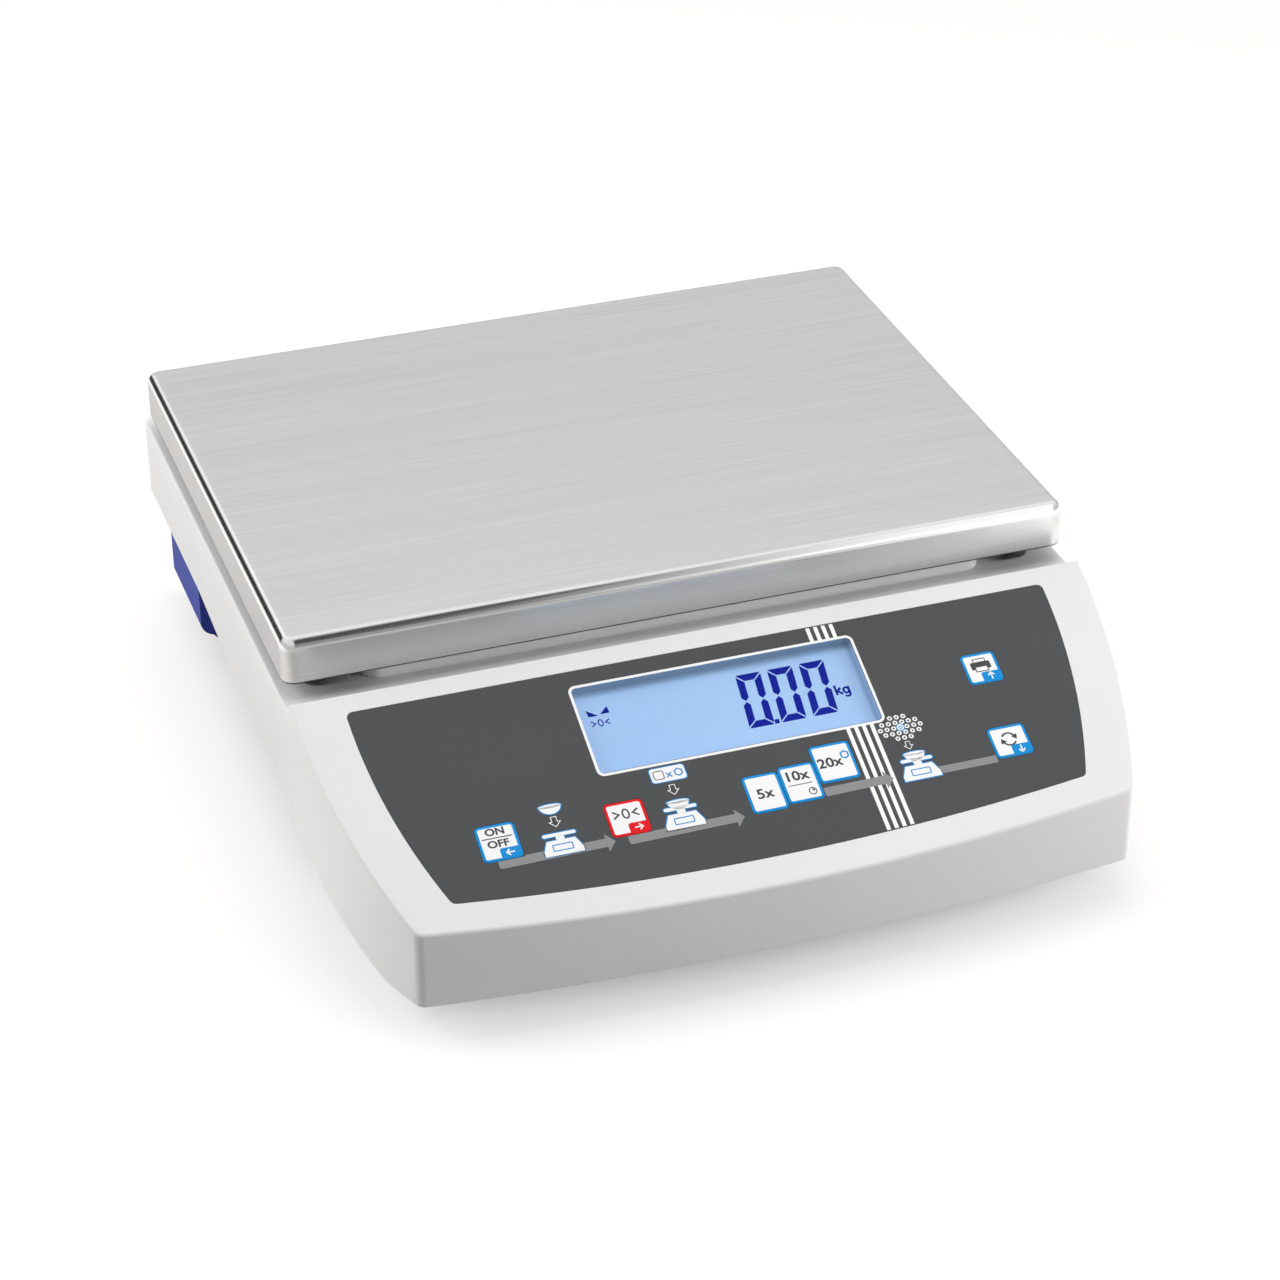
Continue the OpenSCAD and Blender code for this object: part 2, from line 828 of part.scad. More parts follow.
// ---------------------------------------------------------------- boards, sockets, battery

function board_posts() = [for (sx = [-1, 1], sy = [-1, 1])
    [main_x + sx * (main_w / 2 - 5), main_y + sy * (main_d / 2 - 5)]];

module main_board() {
    top_z = main_z + pcb_t;
    color(BOARD_GREEN) {
        difference() {
            translate([main_x, main_y, main_z]) rounded_slab(main_w, main_d, pcb_t, 1.5);
            for (p = board_posts()) translate([p[0], p[1], main_z - 1]) cylinder(r = 1.6, h = 10);
        }
        translate([main_x - 10, main_y - 10, top_z - eps]) cube([14, 14, 1.6]);
        translate([main_x + 12, main_y + 4, top_z - eps]) cube([10, 7, 2]);
        translate([main_x - 26, main_y + 8, top_z - eps]) cylinder(r = 5, h = 12);
        translate([main_x - 24, main_y - 24, top_z - eps]) cylinder(r = 6, h = 7);
        translate([main_x + 2, main_y - 40, top_z - eps]) cube([20, 6, 6]);
    }
}

module main_board_screws() {
    color("silver") for (p = board_posts()) {
        translate([p[0], p[1], main_z + pcb_t]) cap_screw(1.2, 8, 2.6, 1.8);
    }
}

module power_jack() {
    body_back = core_back - wall - 0.4;
    nose_y = core_back + 0.5;
    color([0.08, 0.08, 0.08]) difference() {
        union() {
            translate([jack_x - 6, body_back - 13, main_z + pcb_t]) cube([12, 13, 12.6]);
            translate([jack_x, nose_y, socket_z]) rotate([90, 0, 0]) cylinder(r = 5, h = nose_y - body_back + 1);
        }
        translate([jack_x, nose_y + 1, socket_z]) rotate([90, 0, 0]) cylinder(r = 3.15, h = 11);
    }
    color("silver") translate([jack_x, nose_y - 1, socket_z]) rotate([90, 0, 0]) cylinder(r = 1.05, h = 9.5);
}

module data_port() {
    flange_y = core_back - 1.6;
    color("silver") {
        difference() {
            union() {
                translate([port_x - 15.4, flange_y, socket_z - 6.2]) cube([30.8, 0.9, 12.4]);
                translate([port_x, flange_y + 0.5, socket_z]) rotate([-90, 0, 0]) d_shape(0, 6);
            }
            for (sx = [-1, 1]) {
                translate([port_x + sx * 12.5, flange_y - 1, socket_z]) {
                    rotate([-90, 0, 0]) cylinder(r = 1.55, h = 5);
                }
            }
            for (p = pin_places()) {
                translate([port_x + p[0], flange_y + 3, socket_z + p[1]]) {
                    rotate([-90, 0, 0]) cylinder(r = 0.55, h = 10, $fn = 16);
                }
            }
        }
        translate([port_x - 9.5, flange_y - 10, main_z + pcb_t]) cube([19, 10.2, 11]);
    }
}

function pin_places() = concat(
    [for (i = [-2:2]) [i * 2.77, 1.42]],
    [for (i = [-1.5:1:1.5]) [i * 2.77, -1.42]]);

// The D-shaped connector shell, standing on its flange
module d_shape(t, h) {
    top = 8.3 - t;
    bottom = 7.3 - t;
    half = 4.1 - t;
    linear_extrude(h) polygon([[-top, -half], [top, -half], [bottom, half], [-bottom, half]]);
}

module data_port_posts() {
    color("silver") for (sx = [-1, 1]) {
        translate([port_x + sx * 12.5, core_back - 0.69, socket_z]) rotate([-90, 0, 0]) difference() {
            union() {
                cylinder(r = 2.7, h = 5, $fn = 6);
                translate([0, 0, -5]) cylinder(r = 1.4, h = 5 + eps);
            }
            translate([0, 0, 0.5]) cylinder(r = 1.25, h = 5);
        }
    }
}

module battery() {
    color([0.15, 0.15, 0.17]) translate([battery_x, battery_y, battery_z]) {
        rounded_slab(battery_w, battery_d, battery_h, 2);
        for (x = [-10, 5]) {
            translate([x, battery_d / 2 - 9, battery_h - eps]) cube([4.8, 0.8, 6.3]);
        }
    }
}

function strap_posts() = [for (sx = [-1, 1]) [battery_x + sx * (battery_w / 2 + 7), battery_y]];

module battery_strap() {
    t = 1.5;
    w = 16;
    top_z = battery_z + battery_h + 0.1;
    inner = battery_w / 2 + 0.4;
    color(STEEL) translate([battery_x, battery_y, 0]) difference() {
        union() {
            translate([-inner - t, -w / 2, top_z]) cube([2 * (inner + t), w, t]);
            for (sx = [-1, 1]) {
                translate([sx * (inner + t / 2) - t / 2, -w / 2, 30]) cube([t, w, top_z - 30 + eps]);
                translate([sx * (inner + 6) - 6, -w / 2, 30]) cube([12, w, t]);
            }
        }
        for (p = strap_posts()) translate([p[0] - battery_x, 0, 28]) cylinder(r = 1.8, h = 5);
    }
}

module strap_screws() {
    color("silver") for (p = strap_posts()) translate([p[0], p[1], 31.5]) cap_screw(1.45, 8, 3, 2);
}

module battery_cover() {
    color(PLASTIC_BLUE) translate([battery_x, battery_y, cover_z]) {
        difference() {
            rounded_slab(cover_w, cover_d, cover_t, 2);
            for (i = [0:4]) {
                translate([-14, -cover_d / 2 + 8 + 4 * i, -1]) cube([28, 2, 1.6]);
            }
        }
    }
}

// ---------------------------------------------------------------- level and feet

module level_cup() {
    color(RUBBER) translate([0, level_y, block_z - 8]) difference() {
        union() {
            cylinder(r = level_r, h = 8.5);
            translate([0, 0, 8]) cylinder(r = level_r + 1.2, h = 0.8);
        }
        translate([0, 0, 1.5]) cylinder(r = level_r - 1.5, h = 20);
    }
}

module level_vial() {
    color([0.75, 0.9, 0.3, 0.6]) translate([0, level_y, block_z - 6.5]) cylinder(r = level_r - 1.6, h = 6.6);
}

module foot_inserts() {
    color("goldenrod") for (f = FEET) {
        translate([f[0], f[1], tray_z + 20 - insert_h]) tube(insert_r - 0.05, insert_bore_r, insert_h);
    }
}

module foot_stud(i) {
    color("silver") translate([FEET[i][0], FEET[i][1], 0]) difference() {
        union() {
            translate([0, 0, 6]) cylinder(r = stud_r, h = 28);
            translate([0, 0, 6]) cylinder(r = foot_r - 1, h = 6);
        }
        for (a = [0:30:330]) rotate([0, 0, a]) translate([foot_r, 0, 5]) cylinder(r = 2, h = 8, $fn = 24);
    }
}

module foot_pad(i) {
    color(RUBBER) translate([FEET[i][0], FEET[i][1], 0]) {
        cylinder(r1 = foot_r, r2 = foot_r - 1, h = 6);
    }
}

module foot_front_left_stud() {
    foot_stud(0);
}
module foot_front_left_pad() {
    foot_pad(0);
}
module foot_front_right_stud() {
    foot_stud(1);
}
module foot_front_right_pad() {
    foot_pad(1);
}
module foot_rear_left_stud() {
    foot_stud(2);
}
module foot_rear_left_pad() {
    foot_pad(2);
}
module foot_rear_right_stud() {
    foot_stud(3);
}
module foot_rear_right_pad() {
    foot_pad(3);
}

weighing_plate();
pan_carrier();
pan_buffers();
carrier_spacer();
carrier_bolts();
top_housing();
base_tray();
housing_screws();
keypad_overlay();
display_window();
keypad_circuit();
key_domes();
key_on_off();
key_tare();
key_count_5();
key_count_10();
key_count_20();
key_print();
key_unit();
lcd_glass();
lcd_backlight();
lcd_frame();
display_board();
display_board_screws();
base_plate();
base_plate_screws();
load_cell();
load_cell_spacer();
load_cell_bolts();
overload_stop();
load_cell_cable();
display_cable();
main_board();
main_board_screws();
power_jack();
data_port();
data_port_posts();
battery();
battery_strap();
strap_screws();
battery_cable();
battery_cover();
level_cup();
level_vial();
foot_inserts();
foot_front_left_stud();
foot_front_left_pad();
foot_front_right_stud();
foot_front_right_pad();
foot_rear_left_stud();
foot_rear_left_pad();
foot_rear_right_stud();
foot_rear_right_pad();
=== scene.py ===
# %% [markdown]
# # A counting scale, dressed around its CAD model
#
# The CAD model already holds every part of the scale at its real size. This lesson gives those
# parts their looks: a brushed steel plate, a light satin housing, a printed keypad and a lit
# display. It starts by loading the model as a fixed frame. Everything made later takes its place
# from that frame, so nothing has to be fitted by eye.

# %% Load the frame
import json
import math
import bmesh
import bpy
import numpy as np
from mathutils import Matrix, Vector


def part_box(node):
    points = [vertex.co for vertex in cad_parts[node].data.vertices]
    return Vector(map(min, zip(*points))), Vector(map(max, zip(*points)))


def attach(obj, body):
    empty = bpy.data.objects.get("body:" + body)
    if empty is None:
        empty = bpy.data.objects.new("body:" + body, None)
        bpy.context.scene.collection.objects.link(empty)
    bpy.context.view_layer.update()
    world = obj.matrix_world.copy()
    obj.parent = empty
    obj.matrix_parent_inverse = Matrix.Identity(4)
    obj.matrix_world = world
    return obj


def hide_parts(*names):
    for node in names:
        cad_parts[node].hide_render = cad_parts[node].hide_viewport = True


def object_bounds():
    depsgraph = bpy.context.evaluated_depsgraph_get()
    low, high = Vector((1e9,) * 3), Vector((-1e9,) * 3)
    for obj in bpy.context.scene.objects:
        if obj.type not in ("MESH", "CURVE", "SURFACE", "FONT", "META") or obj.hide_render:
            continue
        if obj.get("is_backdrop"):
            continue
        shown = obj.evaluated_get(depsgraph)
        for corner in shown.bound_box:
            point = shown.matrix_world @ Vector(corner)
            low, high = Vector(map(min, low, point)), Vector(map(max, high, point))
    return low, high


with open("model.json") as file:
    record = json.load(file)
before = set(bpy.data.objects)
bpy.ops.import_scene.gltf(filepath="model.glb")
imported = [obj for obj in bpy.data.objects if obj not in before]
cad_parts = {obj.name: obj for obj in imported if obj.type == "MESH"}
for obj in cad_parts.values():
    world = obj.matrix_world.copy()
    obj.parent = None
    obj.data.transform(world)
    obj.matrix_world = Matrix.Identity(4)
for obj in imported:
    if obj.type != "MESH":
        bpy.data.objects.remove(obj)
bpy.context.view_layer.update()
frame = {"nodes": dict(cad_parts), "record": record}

# %% [markdown]
# ## The camera
#
# A product picture is usually taken from far away with a long lens, so that the sides of a box
# stay nearly parallel. A camera could be aimed at a target with a constraint. Here its place and
# its three angles are given instead, because then nothing else in the scene can move it.

# %% Camera
CAMERA_PLACE = (-0.419228, -1.224486, 0.838734)
CAMERA_AZIMUTH = -19.02087
CAMERA_ELEVATION = 31.40658
CAMERA_ROLL = -0.26890
CAMERA_LENS = 98.2406
CAMERA_REACH = 20


def place_in_scene(name, data):
    """A new object that holds a mesh, a light or a camera."""
    thing = bpy.data.objects.new(name, data)
    bpy.context.scene.collection.objects.link(thing)
    return thing


def add_camera():
    """Right, up and back directions from the azimuth and the elevation, then turned by the roll."""
    a, e, r = (math.radians(v) for v in (CAMERA_AZIMUTH, CAMERA_ELEVATION, CAMERA_ROLL))
    right = Vector((math.cos(a), math.sin(a), 0))
    back = Vector((math.sin(a) * math.cos(e), -math.cos(a) * math.cos(e), math.sin(e)))
    up = back.cross(right)
    turned_right = right * math.cos(r) + up * math.sin(r)
    turned_up = up * math.cos(r) - right * math.sin(r)
    camera = place_in_scene("camera", bpy.data.cameras.new("camera"))
    camera.data.lens = CAMERA_LENS
    camera.data.clip_end = CAMERA_REACH
    camera.matrix_world = Matrix.Translation(CAMERA_PLACE) @ Matrix(
        (turned_right, turned_up, back)).transposed().to_4x4()
    bpy.context.scene.camera = camera
    return camera


camera = add_camera()
print("camera looks along", [round(c, 3) for c in -camera.matrix_world.col[2].xyz])

# %% [markdown]
# ## Shader helpers
#
# A material is a small network of nodes. Making each node by hand takes many lines, so one helper
# makes a node, sets its options and joins its inputs. It gives back a field, which is the value
# that an output has at every point. A field adds and multiplies like a number, and each such step
# makes one Math node, so that a formula in a shader can be read as a formula.

# %% Fields and nodes


class Field:
    """One output of a node. field["Name"] is another output of the same node."""

    def __init__(self, tree, socket):
        self.tree, self.socket = tree, socket

    def __getitem__(self, key):
        return Field(self.tree, self.socket.node.outputs[key])

    def __abs__(self):
        return math_node("ABSOLUTE", self)


def node(tree, kind, inputs=None, **settings):
    """Adds a node: settings are its options, and inputs are constants or fields to link. Gives the
    field of its first output."""
    made = tree.nodes.new(kind if kind.startswith("NodeGroup") else "ShaderNode" + kind)
    for key, value in settings.items():
        setattr(made, key, value)
    for key, value in (inputs or {}).items():
        if isinstance(value, Field):
            tree.links.new(value.socket, made.inputs[key])
        else:
            made.inputs[key].default_value = value
    return Field(tree, made.outputs[0]) if made.outputs else None


def tree_of(*values):
    """The node tree of the first field among some values."""
    return next(value.tree for value in values if isinstance(value, Field))


def math_node(operation, a, b=0.0):
    """One arithmetic step on two numbers or fields."""
    return node(tree_of(a, b), "Math", {0: a, 1: b}, operation=operation)


for sign, step in (("add", "ADD"), ("sub", "SUBTRACT"), ("mul", "MULTIPLY"), ("truediv", "DIVIDE")):
    setattr(Field, f"__{sign}__", lambda a, b, step=step: math_node(step, a, b))
    setattr(Field, f"__r{sign}__", lambda a, b, step=step: math_node(step, b, a))
print("fields add, subtract, multiply and divide")

# %% [markdown]
# The steps that materials need most get short names: a mix, a stretch from one range to another,
# noise, and the parts of a vector. Each could be written out where it is used, but then the few
# numbers that matter would drown in node names.

# %% Node helpers
BLACK, WHITE = (0, 0, 0, 1), (1, 1, 1, 1)
SOFT = "SMOOTHSTEP"


def clamped(field):
    """Keeps the result of a Math step between 0 and 1."""
    field.socket.node.use_clamp = True
    return field


def mix_value(factor, a, b):
    """Mixes two numbers by a factor."""
    return node(tree_of(factor, a, b), "Mix", {0: factor, 2: a, 3: b})


def mix_colour(factor, a, b, blend="MIX"):
    """Mixes colour a with colour b by a factor."""
    return node(tree_of(factor, a, b), "Mix", {0: factor, 6: a, 7: b}, data_type="RGBA",
                blend_type=blend)[2]


def tinted(colour, shade):
    """A colour times a shade."""
    return mix_colour(1.0, colour, shade, "MULTIPLY")


def remap(value, low, high, to_low, to_high, kind="LINEAR"):
    """Stretches the range low..high of a value to to_low..to_high and clamps it there. The kind
    SOFT gives the stretch a smooth start and end."""
    return node(value.tree, "MapRange", {0: value, 1: low, 2: high, 3: to_low, 4: to_high},
                interpolation_type=kind)


def noise(vector, scale, detail=3.0, roughness=0.5):
    """Cloudy noise between 0 and 1 at so many cells a metre."""
    return node(vector.tree, "TexNoise", {"Vector": vector, "Scale": scale, "Detail": detail,
                                          "Roughness": roughness})["Fac"]


def stretched(vector, factors):
    """Scales the pattern's space by a factor along each axis."""
    return node(vector.tree, "Mapping", {"Vector": vector, "Scale": factors})


def dot(vector, direction):
    """Dot product with a fixed direction."""
    return node(vector.tree, "VectorMath", {0: vector, 1: tuple(direction)},
                operation="DOT_PRODUCT")["Value"]


def axes(vector):
    """The X, Y and Z parts of a vector."""
    parts = node(vector.tree, "SeparateXYZ", {0: vector})
    return [parts[axis] for axis in "XYZ"]


def input_name(key):
    """The name that a group's input has for an argument's name."""
    return key.replace("_", " ").title()


print("an input's name:", input_name("grain_size"))

# %% [markdown]
# ## Effects that several materials share
#
# Moulded plastic looks like plastic because of three small things: a fine grain that breaks up the
# reflection, a gloss that changes a little from place to place, and a little dust. Brushed steel
# has long thin scratches that run one way. Each of these effects could be painted in every material
# again. As node groups they are made once and take their own sizes and strengths in each material.

# %% Effect groups


def new_effect(name, colour, **values):
    """A node group that takes a Vector, a Colour and some numbers, and gives a Colour, a Roughness
    and a Height."""
    tree = bpy.data.node_groups.new(name, "ShaderNodeTree")
    rows = [("Vector", "INPUT", "Vector", None), ("Colour", "INPUT", "Color", colour)]
    rows += [(input_name(key), "INPUT", "Float", value) for key, value in values.items()]
    rows += [("Colour", "OUTPUT", "Color", None), ("Roughness", "OUTPUT", "Float", None),
             ("Height", "OUTPUT", "Float", None)]
    for key, way, kind, default in rows:
        socket = tree.interface.new_socket(name=key, in_out=way, socket_type="NodeSocket" + kind)
        if default is not None:
            socket.default_value = default
    return node(tree, "NodeGroupInput")


def close_effect(colour, roughness, height):
    """Joins the three results to the group's outputs."""
    node(height.tree, "NodeGroupOutput", {"Colour": colour, "Roughness": clamped(roughness),
                                          "Height": height})
    return height.tree


print("effect groups ready")

# %% [markdown]
# Moulded plastic has a fine, even grain, but its gloss and colour drift slowly over a part. So a
# fine noise gives the height and a slow one the rest, with a little dust on top.

# %% Effect: fine moulded grain
DUST_COLOUR = (0.62, 0.60, 0.57, 1)


def make_moulded_grain():
    """Grain height from fine noise, gloss and colour from slow noise, and a little dust."""
    given = new_effect("moulded_grain", (0.8, 0.8, 0.8, 1), grain_size=0.0004, roughness=0.4,
                       variation=0.06, dust=0.05)
    space = given["Vector"]
    grain = noise(space, 1.0 / given["Grain Size"], 2.0, 0.6)
    cloud = noise(space, 14.0, 3.0, 0.55)
    specks = remap(noise(space, 900.0, 1.0, 0.5), 0.70, 0.80, 0.0, 1.0)
    colour = tinted(given["Colour"], remap(cloud, 0.3, 0.7, 0.965, 1.0))
    colour = mix_colour(specks * given["Dust"], colour, DUST_COLOUR)
    gloss = given["Roughness"] + (cloud - 0.5) * given["Variation"] + (grain - 0.5) * 0.08
    return close_effect(colour, gloss, grain)


print("moulded grain, with dust of the colour", DUST_COLOUR[:3])

# %% [markdown]
# Brushing leaves scratches of different widths side by side. One squeezed noise has only one
# width, so two are added, and a third, wider one gives soft bands.

# %% Effect: brushed streaks


def make_brushed_streaks():
    """Noise squeezed hard across one direction: long thin scratches, and broad soft bands."""
    given = new_effect("brushed_streaks", (0.6, 0.6, 0.6, 1), roughness=0.25, contrast=0.1,
                       bands=0.03)
    hair, scratch, band = (
        noise(stretched(given["Vector"], (along, across, 1.0)), 1.0, detail, rough)
        for along, across, detail, rough in ((10.0, 3300.0, 2.0, 0.6), (3.5, 1300.0, 3.0, 0.65),
                                             (2.0, 60.0, 2.0, 0.5)))
    streak = hair * 0.65 + scratch * 0.35
    centred = streak - 0.5
    light = 1.0 + centred * given["Contrast"] + (band - 0.5) * given["Bands"]
    return close_effect(tinted(given["Colour"], light), given["Roughness"] + centred * 0.25, streak)


print("brushed streaks: two noises and a band")

# %% [markdown]
# Sand or shot leaves a skin of small pits on a slow swell. Voronoi cells would give sharper pits.
# Two noises, one six times as large as the other, are softer.

# %% Effect: cast or blasted metal skin


def make_blasted_skin():
    """Two sizes of rounded noise on top of each other, as sand or shot leaves on metal."""
    given = new_effect("blasted_skin", (0.6, 0.6, 0.6, 1), grain_size=0.0005, roughness=0.5)
    cells = 1.0 / given["Grain Size"]
    pits = noise(given["Vector"], cells, 3.0, 0.7)
    swell = noise(given["Vector"], cells / 6.0, 2.0, 0.5)
    colour = tinted(given["Colour"], remap(swell, 0.3, 0.7, 0.88, 1.0))
    return close_effect(colour, given["Roughness"] + (pits - 0.5) * 0.2, pits * 0.6 + swell * 0.4)


EFFECTS = {"grain": make_moulded_grain(), "brushed": make_brushed_streaks(),
           "blasted": make_blasted_skin()}
print("shared effects:", ", ".join(EFFECTS))

# %% [markdown]
# ## Finishes
#
# Most parts need the same chain: a pattern space, one shared effect, a bump, and the Principled
# shader. One helper builds that chain. Colours and numbers that don't change over the surface go
# straight into the shader's own inputs.

# %% Finish helpers
FINISHES = {}


def new_finish(slot, name):
    """An empty material, filed under its slot's name. Gives its node tree."""
    material = bpy.data.materials.new(name)
    material.use_nodes = True
    material.node_tree.nodes.clear()
    FINISHES[slot] = material
    return material.node_tree


def shader_space(tree, space="Object"):
    """The pattern's coordinates: the object's own metres, or a named UV map."""
    if space == "Object":
        return node(tree, "TexCoord")["Object"]
    return node(tree, "UVMap", uv_map=space)


def effect(tree, kind, colour, space="Object", **values):
    """One of the shared effects, in a pattern space."""
    inputs = {input_name(key): value for key, value in values.items()}
    return node(tree, "Group", {"Vector": shader_space(tree, space), "Colour": (*colour, 1),
                                **inputs}, node_tree=EFFECTS[kind])


def principled(tree, inputs):
    """Joins a Principled shader with these inputs to the material's output."""
    node(tree, "OutputMaterial", {"Surface": node(tree, "BsdfPrincipled", inputs)})


def finish(slot, name, kind, colour, bump, shader, **values):
    """Shared effect, bump of that many metres, and a Principled shader with some fixed inputs."""
    tree = new_finish(slot, name)
    look = effect(tree, kind, colour, **values)
    relief = node(tree, "Bump", {"Height": look["Height"], "Distance": bump})
    principled(tree, {"Base Color": look["Colour"], "Roughness": look["Roughness"],
                      "Normal": relief, **shader})


print("finish helper ready")

# %% [markdown]
# ### Plastics, films and rubber
#
# The housing is a light satin plastic with a very fine grain, the base tray is a blue one with a
# coarser grain, and the keypad is a dark film with a soft sheen. They share the grain effect, and
# only the grain's size, its depth and the gloss differ.

# %% Plastics
# slot: name, colour, depth of the grain, size of the grain, roughness, variation, dust, specular
PLASTICS = {
    "shell_plastic": ("satin_light_plastic", (0.80, 0.80, 0.80), 0.000012, 0.00045, 0.40, 0.05,
                      0.02, 0.5),
    "tray_plastic": ("grained_blue_plastic", (0.030, 0.055, 0.33), 0.00003, 0.0007, 0.55, 0.08,
                     0.02, 0.20),
    "film_grey": ("dark_keypad_film", (0.066, 0.068, 0.071), 0.000006, 0.00025, 0.38, 0.04,
                  0.015, 0.25),
    "key_white": ("white_key_film", (0.93, 0.93, 0.93), 0.000006, 0.00025, 0.36, 0.04, 0.01, 0.5),
    "circuit_film": ("clear_circuit_film", (0.60, 0.56, 0.42), 0.000006, 0.0006, 0.30, 0.05,
                     0.05, 0.5),
    "black_plastic": ("black_moulded_plastic", (0.022, 0.022, 0.024), 0.00002, 0.0005, 0.42,
                      0.10, 0.05, 0.5),
    "battery_case": ("battery_case_plastic", (0.045, 0.047, 0.055), 0.00002, 0.0006, 0.45, 0.08,
                     0.05, 0.5),
    "rubber_black": ("soft_black_rubber", (0.028, 0.028, 0.028), 0.00003, 0.0008, 0.78, 0.10,
                     0.15, 0.3),
    "cable_grey": ("grey_cable_jacket", (0.24, 0.24, 0.25), 0.00001, 0.0005, 0.50, 0.10, 0.05,
                   0.5),
    "cable_red": ("red_cable_jacket", (0.42, 0.02, 0.016), 0.00001, 0.0005, 0.45, 0.10, 0.05,
                  0.5)}


def grain_finish(slot, name, colour, bump, grain, roughness, variation, dust, specular):
    """A finish with the grain effect, from one row of the table."""
    finish(slot, name, "grain", colour, bump, {"Specular IOR Level": specular}, grain_size=grain,
           roughness=roughness, variation=variation, dust=dust)


for slot, row in PLASTICS.items():
    grain_finish(slot, *row)
print(len(FINISHES), "plastic finishes")

# %% [markdown]
# ### Metals
#
# A metal shows almost only what it reflects, so its colour is close to white and its character
# sits in the roughness. Cast parts have a blasted skin. Milled and machined parts get the brushed
# effect in their own metres, with the scratches along X.

# %% Metals
METAL = {"Metallic": 1.0}
finish("cast_aluminium", "cast_aluminium_skin", "blasted", (0.66, 0.67, 0.68), 0.00008, METAL,
       grain_size=0.0009, roughness=0.48)
finish("cell_aluminium", "milled_aluminium", "brushed", (0.78, 0.79, 0.80), 0.000004, METAL,
       roughness=0.30, contrast=0.10, bands=0.04)
finish("zinc_steel", "zinc_plated_steel", "blasted", (0.66, 0.67, 0.66), 0.00001, METAL,
       grain_size=0.0006, roughness=0.30)
finish("black_steel", "black_oxide_steel", "blasted", (0.055, 0.055, 0.060), 0.00001,
       {"Metallic": 0.8}, grain_size=0.0005, roughness=0.42)
finish("brass", "machined_brass", "brushed", (0.74, 0.52, 0.20), 0.000004, METAL,
       roughness=0.28, contrast=0.10, bands=0.05)
print(len(FINISHES), "finishes so far")

# %% [markdown]
# ### Printed inks
#
# The symbols on the keypad are printed. An ink is a smooth plastic-like layer, so it uses the grain
# effect with almost no depth. Each ink is a flat raised shape of its own, because a shape stays
# crisp at any distance, and a pattern painted by nodes would need a test for every line.

# %% Inks
INKS = {"ink_white": (0.94, 0.94, 0.94), "ink_blue": (0.0, 0.27, 0.68),
        "ink_red": (0.78, 0.002, 0.008), "ink_grey": (0.27, 0.27, 0.275),
        "ink_dark": (0.055, 0.056, 0.060)}
for ink, colour in INKS.items():
    grain_finish(ink, f"printed_{ink}", colour, 0.000004, 0.0003, 0.40, 0.04, 0.01, 0.25)
print("inks:", ", ".join(INKS))

# %% [markdown]
# ### Window, display and spirit level
#
# The window is a thin clear film over the display. Real refraction would keep most of the light off
# the display below it, so the film is nearly transparent instead and still has a clean gloss. The
# display glows a little by itself, as a backlit panel does, and lies a few millimetres deep. A glow
# has no shadow, so the shade that the window's rim throws on it, wide at the top and narrow at the
# sides, is part of its colour, measured from the middle of the glass.

# %% Clear parts


def make_clear_film():
    """A nearly transparent glossy layer, with a trace of haze in its alpha."""
    tree = new_finish("window_clear", "clear_window_film")
    haze = noise(shader_space(tree), 60.0, 2.0)
    principled(tree, {"Base Color": (0.3, 0.31, 0.32, 1), "Roughness": 0.12,
                      "Alpha": remap(haze, 0.3, 0.7, 0.012, 0.022)})


def rim_shade(space):
    """One in the open part of the display, less near its upper edge and its two sides."""
    low, high = (np.array(corner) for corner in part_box("lcd_glass"))
    slope = (low - high) * (0, 1, 1)
    slope /= np.linalg.norm(slope)
    down = dot(space, slope) - float(slope @ (low + high) / 2)
    side = abs(axes(space)[0])
    return (remap(down, -0.0212, -0.0160, 0.46, 1.0, SOFT)
            * remap(side, 0.0575, 0.0610, 1.0, 0.62, SOFT))


def make_lit_display(slot, name, edge, middle, strength, specular=0.5):
    """Emission that runs from the edge colour to the middle colour with slow noise."""
    tree = new_finish(slot, name)
    space = shader_space(tree)
    slow, fine = noise(space, 9.0, 1.0), noise(space, 2500.0, 1.0)
    glow = mix_colour(remap(slow, 0.35, 0.65, 0.0, 1.0), (*edge, 1), (*middle, 1))
    glow = tinted(glow, rim_shade(space))
    principled(tree, {"Base Color": mix_colour(0.4, glow, BLACK),
                      "Roughness": remap(fine, 0.3, 0.7, 0.28, 0.36),
                      "Specular IOR Level": specular, "Emission Color": glow,
                      "Emission Strength": strength})


def make_level_liquid():
    """Yellow-green liquid in a clear vial."""
    tree = new_finish("vial_green", "level_liquid")
    cloud = noise(shader_space(tree), 300.0, 1.0)
    principled(tree, {"Base Color": mix_colour(cloud, (0.50, 0.72, 0.06, 1), (0.62, 0.82, 0.10, 1)),
                      "Roughness": 0.05, "IOR": 1.40, "Transmission Weight": 0.55,
                      "Coat Weight": 1.0})


make_clear_film()
make_lit_display("lcd_panel", "lit_display_glass", (0.33, 0.54, 0.87), (0.36, 0.57, 0.90), 0.42)
make_lit_display("backlight", "display_backlight", (0.50, 0.72, 0.98), (0.60, 0.80, 1.0), 0.6)
make_lit_display("lcd_ink", "dark_display_segments", (0.001, 0.008, 0.30), (0.002, 0.012, 0.36),
                 0.30, specular=0.0)
make_level_liquid()
print("clear parts ready")

# %% [markdown]
# ### Circuit boards
#
# The boards are only seen when the scale is open. Their copper traces lie under the green lacquer
# as thin lighter lines at right angles. Two noises, one squeezed along each axis, give such lines
# where they cross a level, with no drawing at all.

# %% Circuit board
SQUEEZED = ((60.0, 900.0, 1.0), (900.0, 60.0, 1.0))


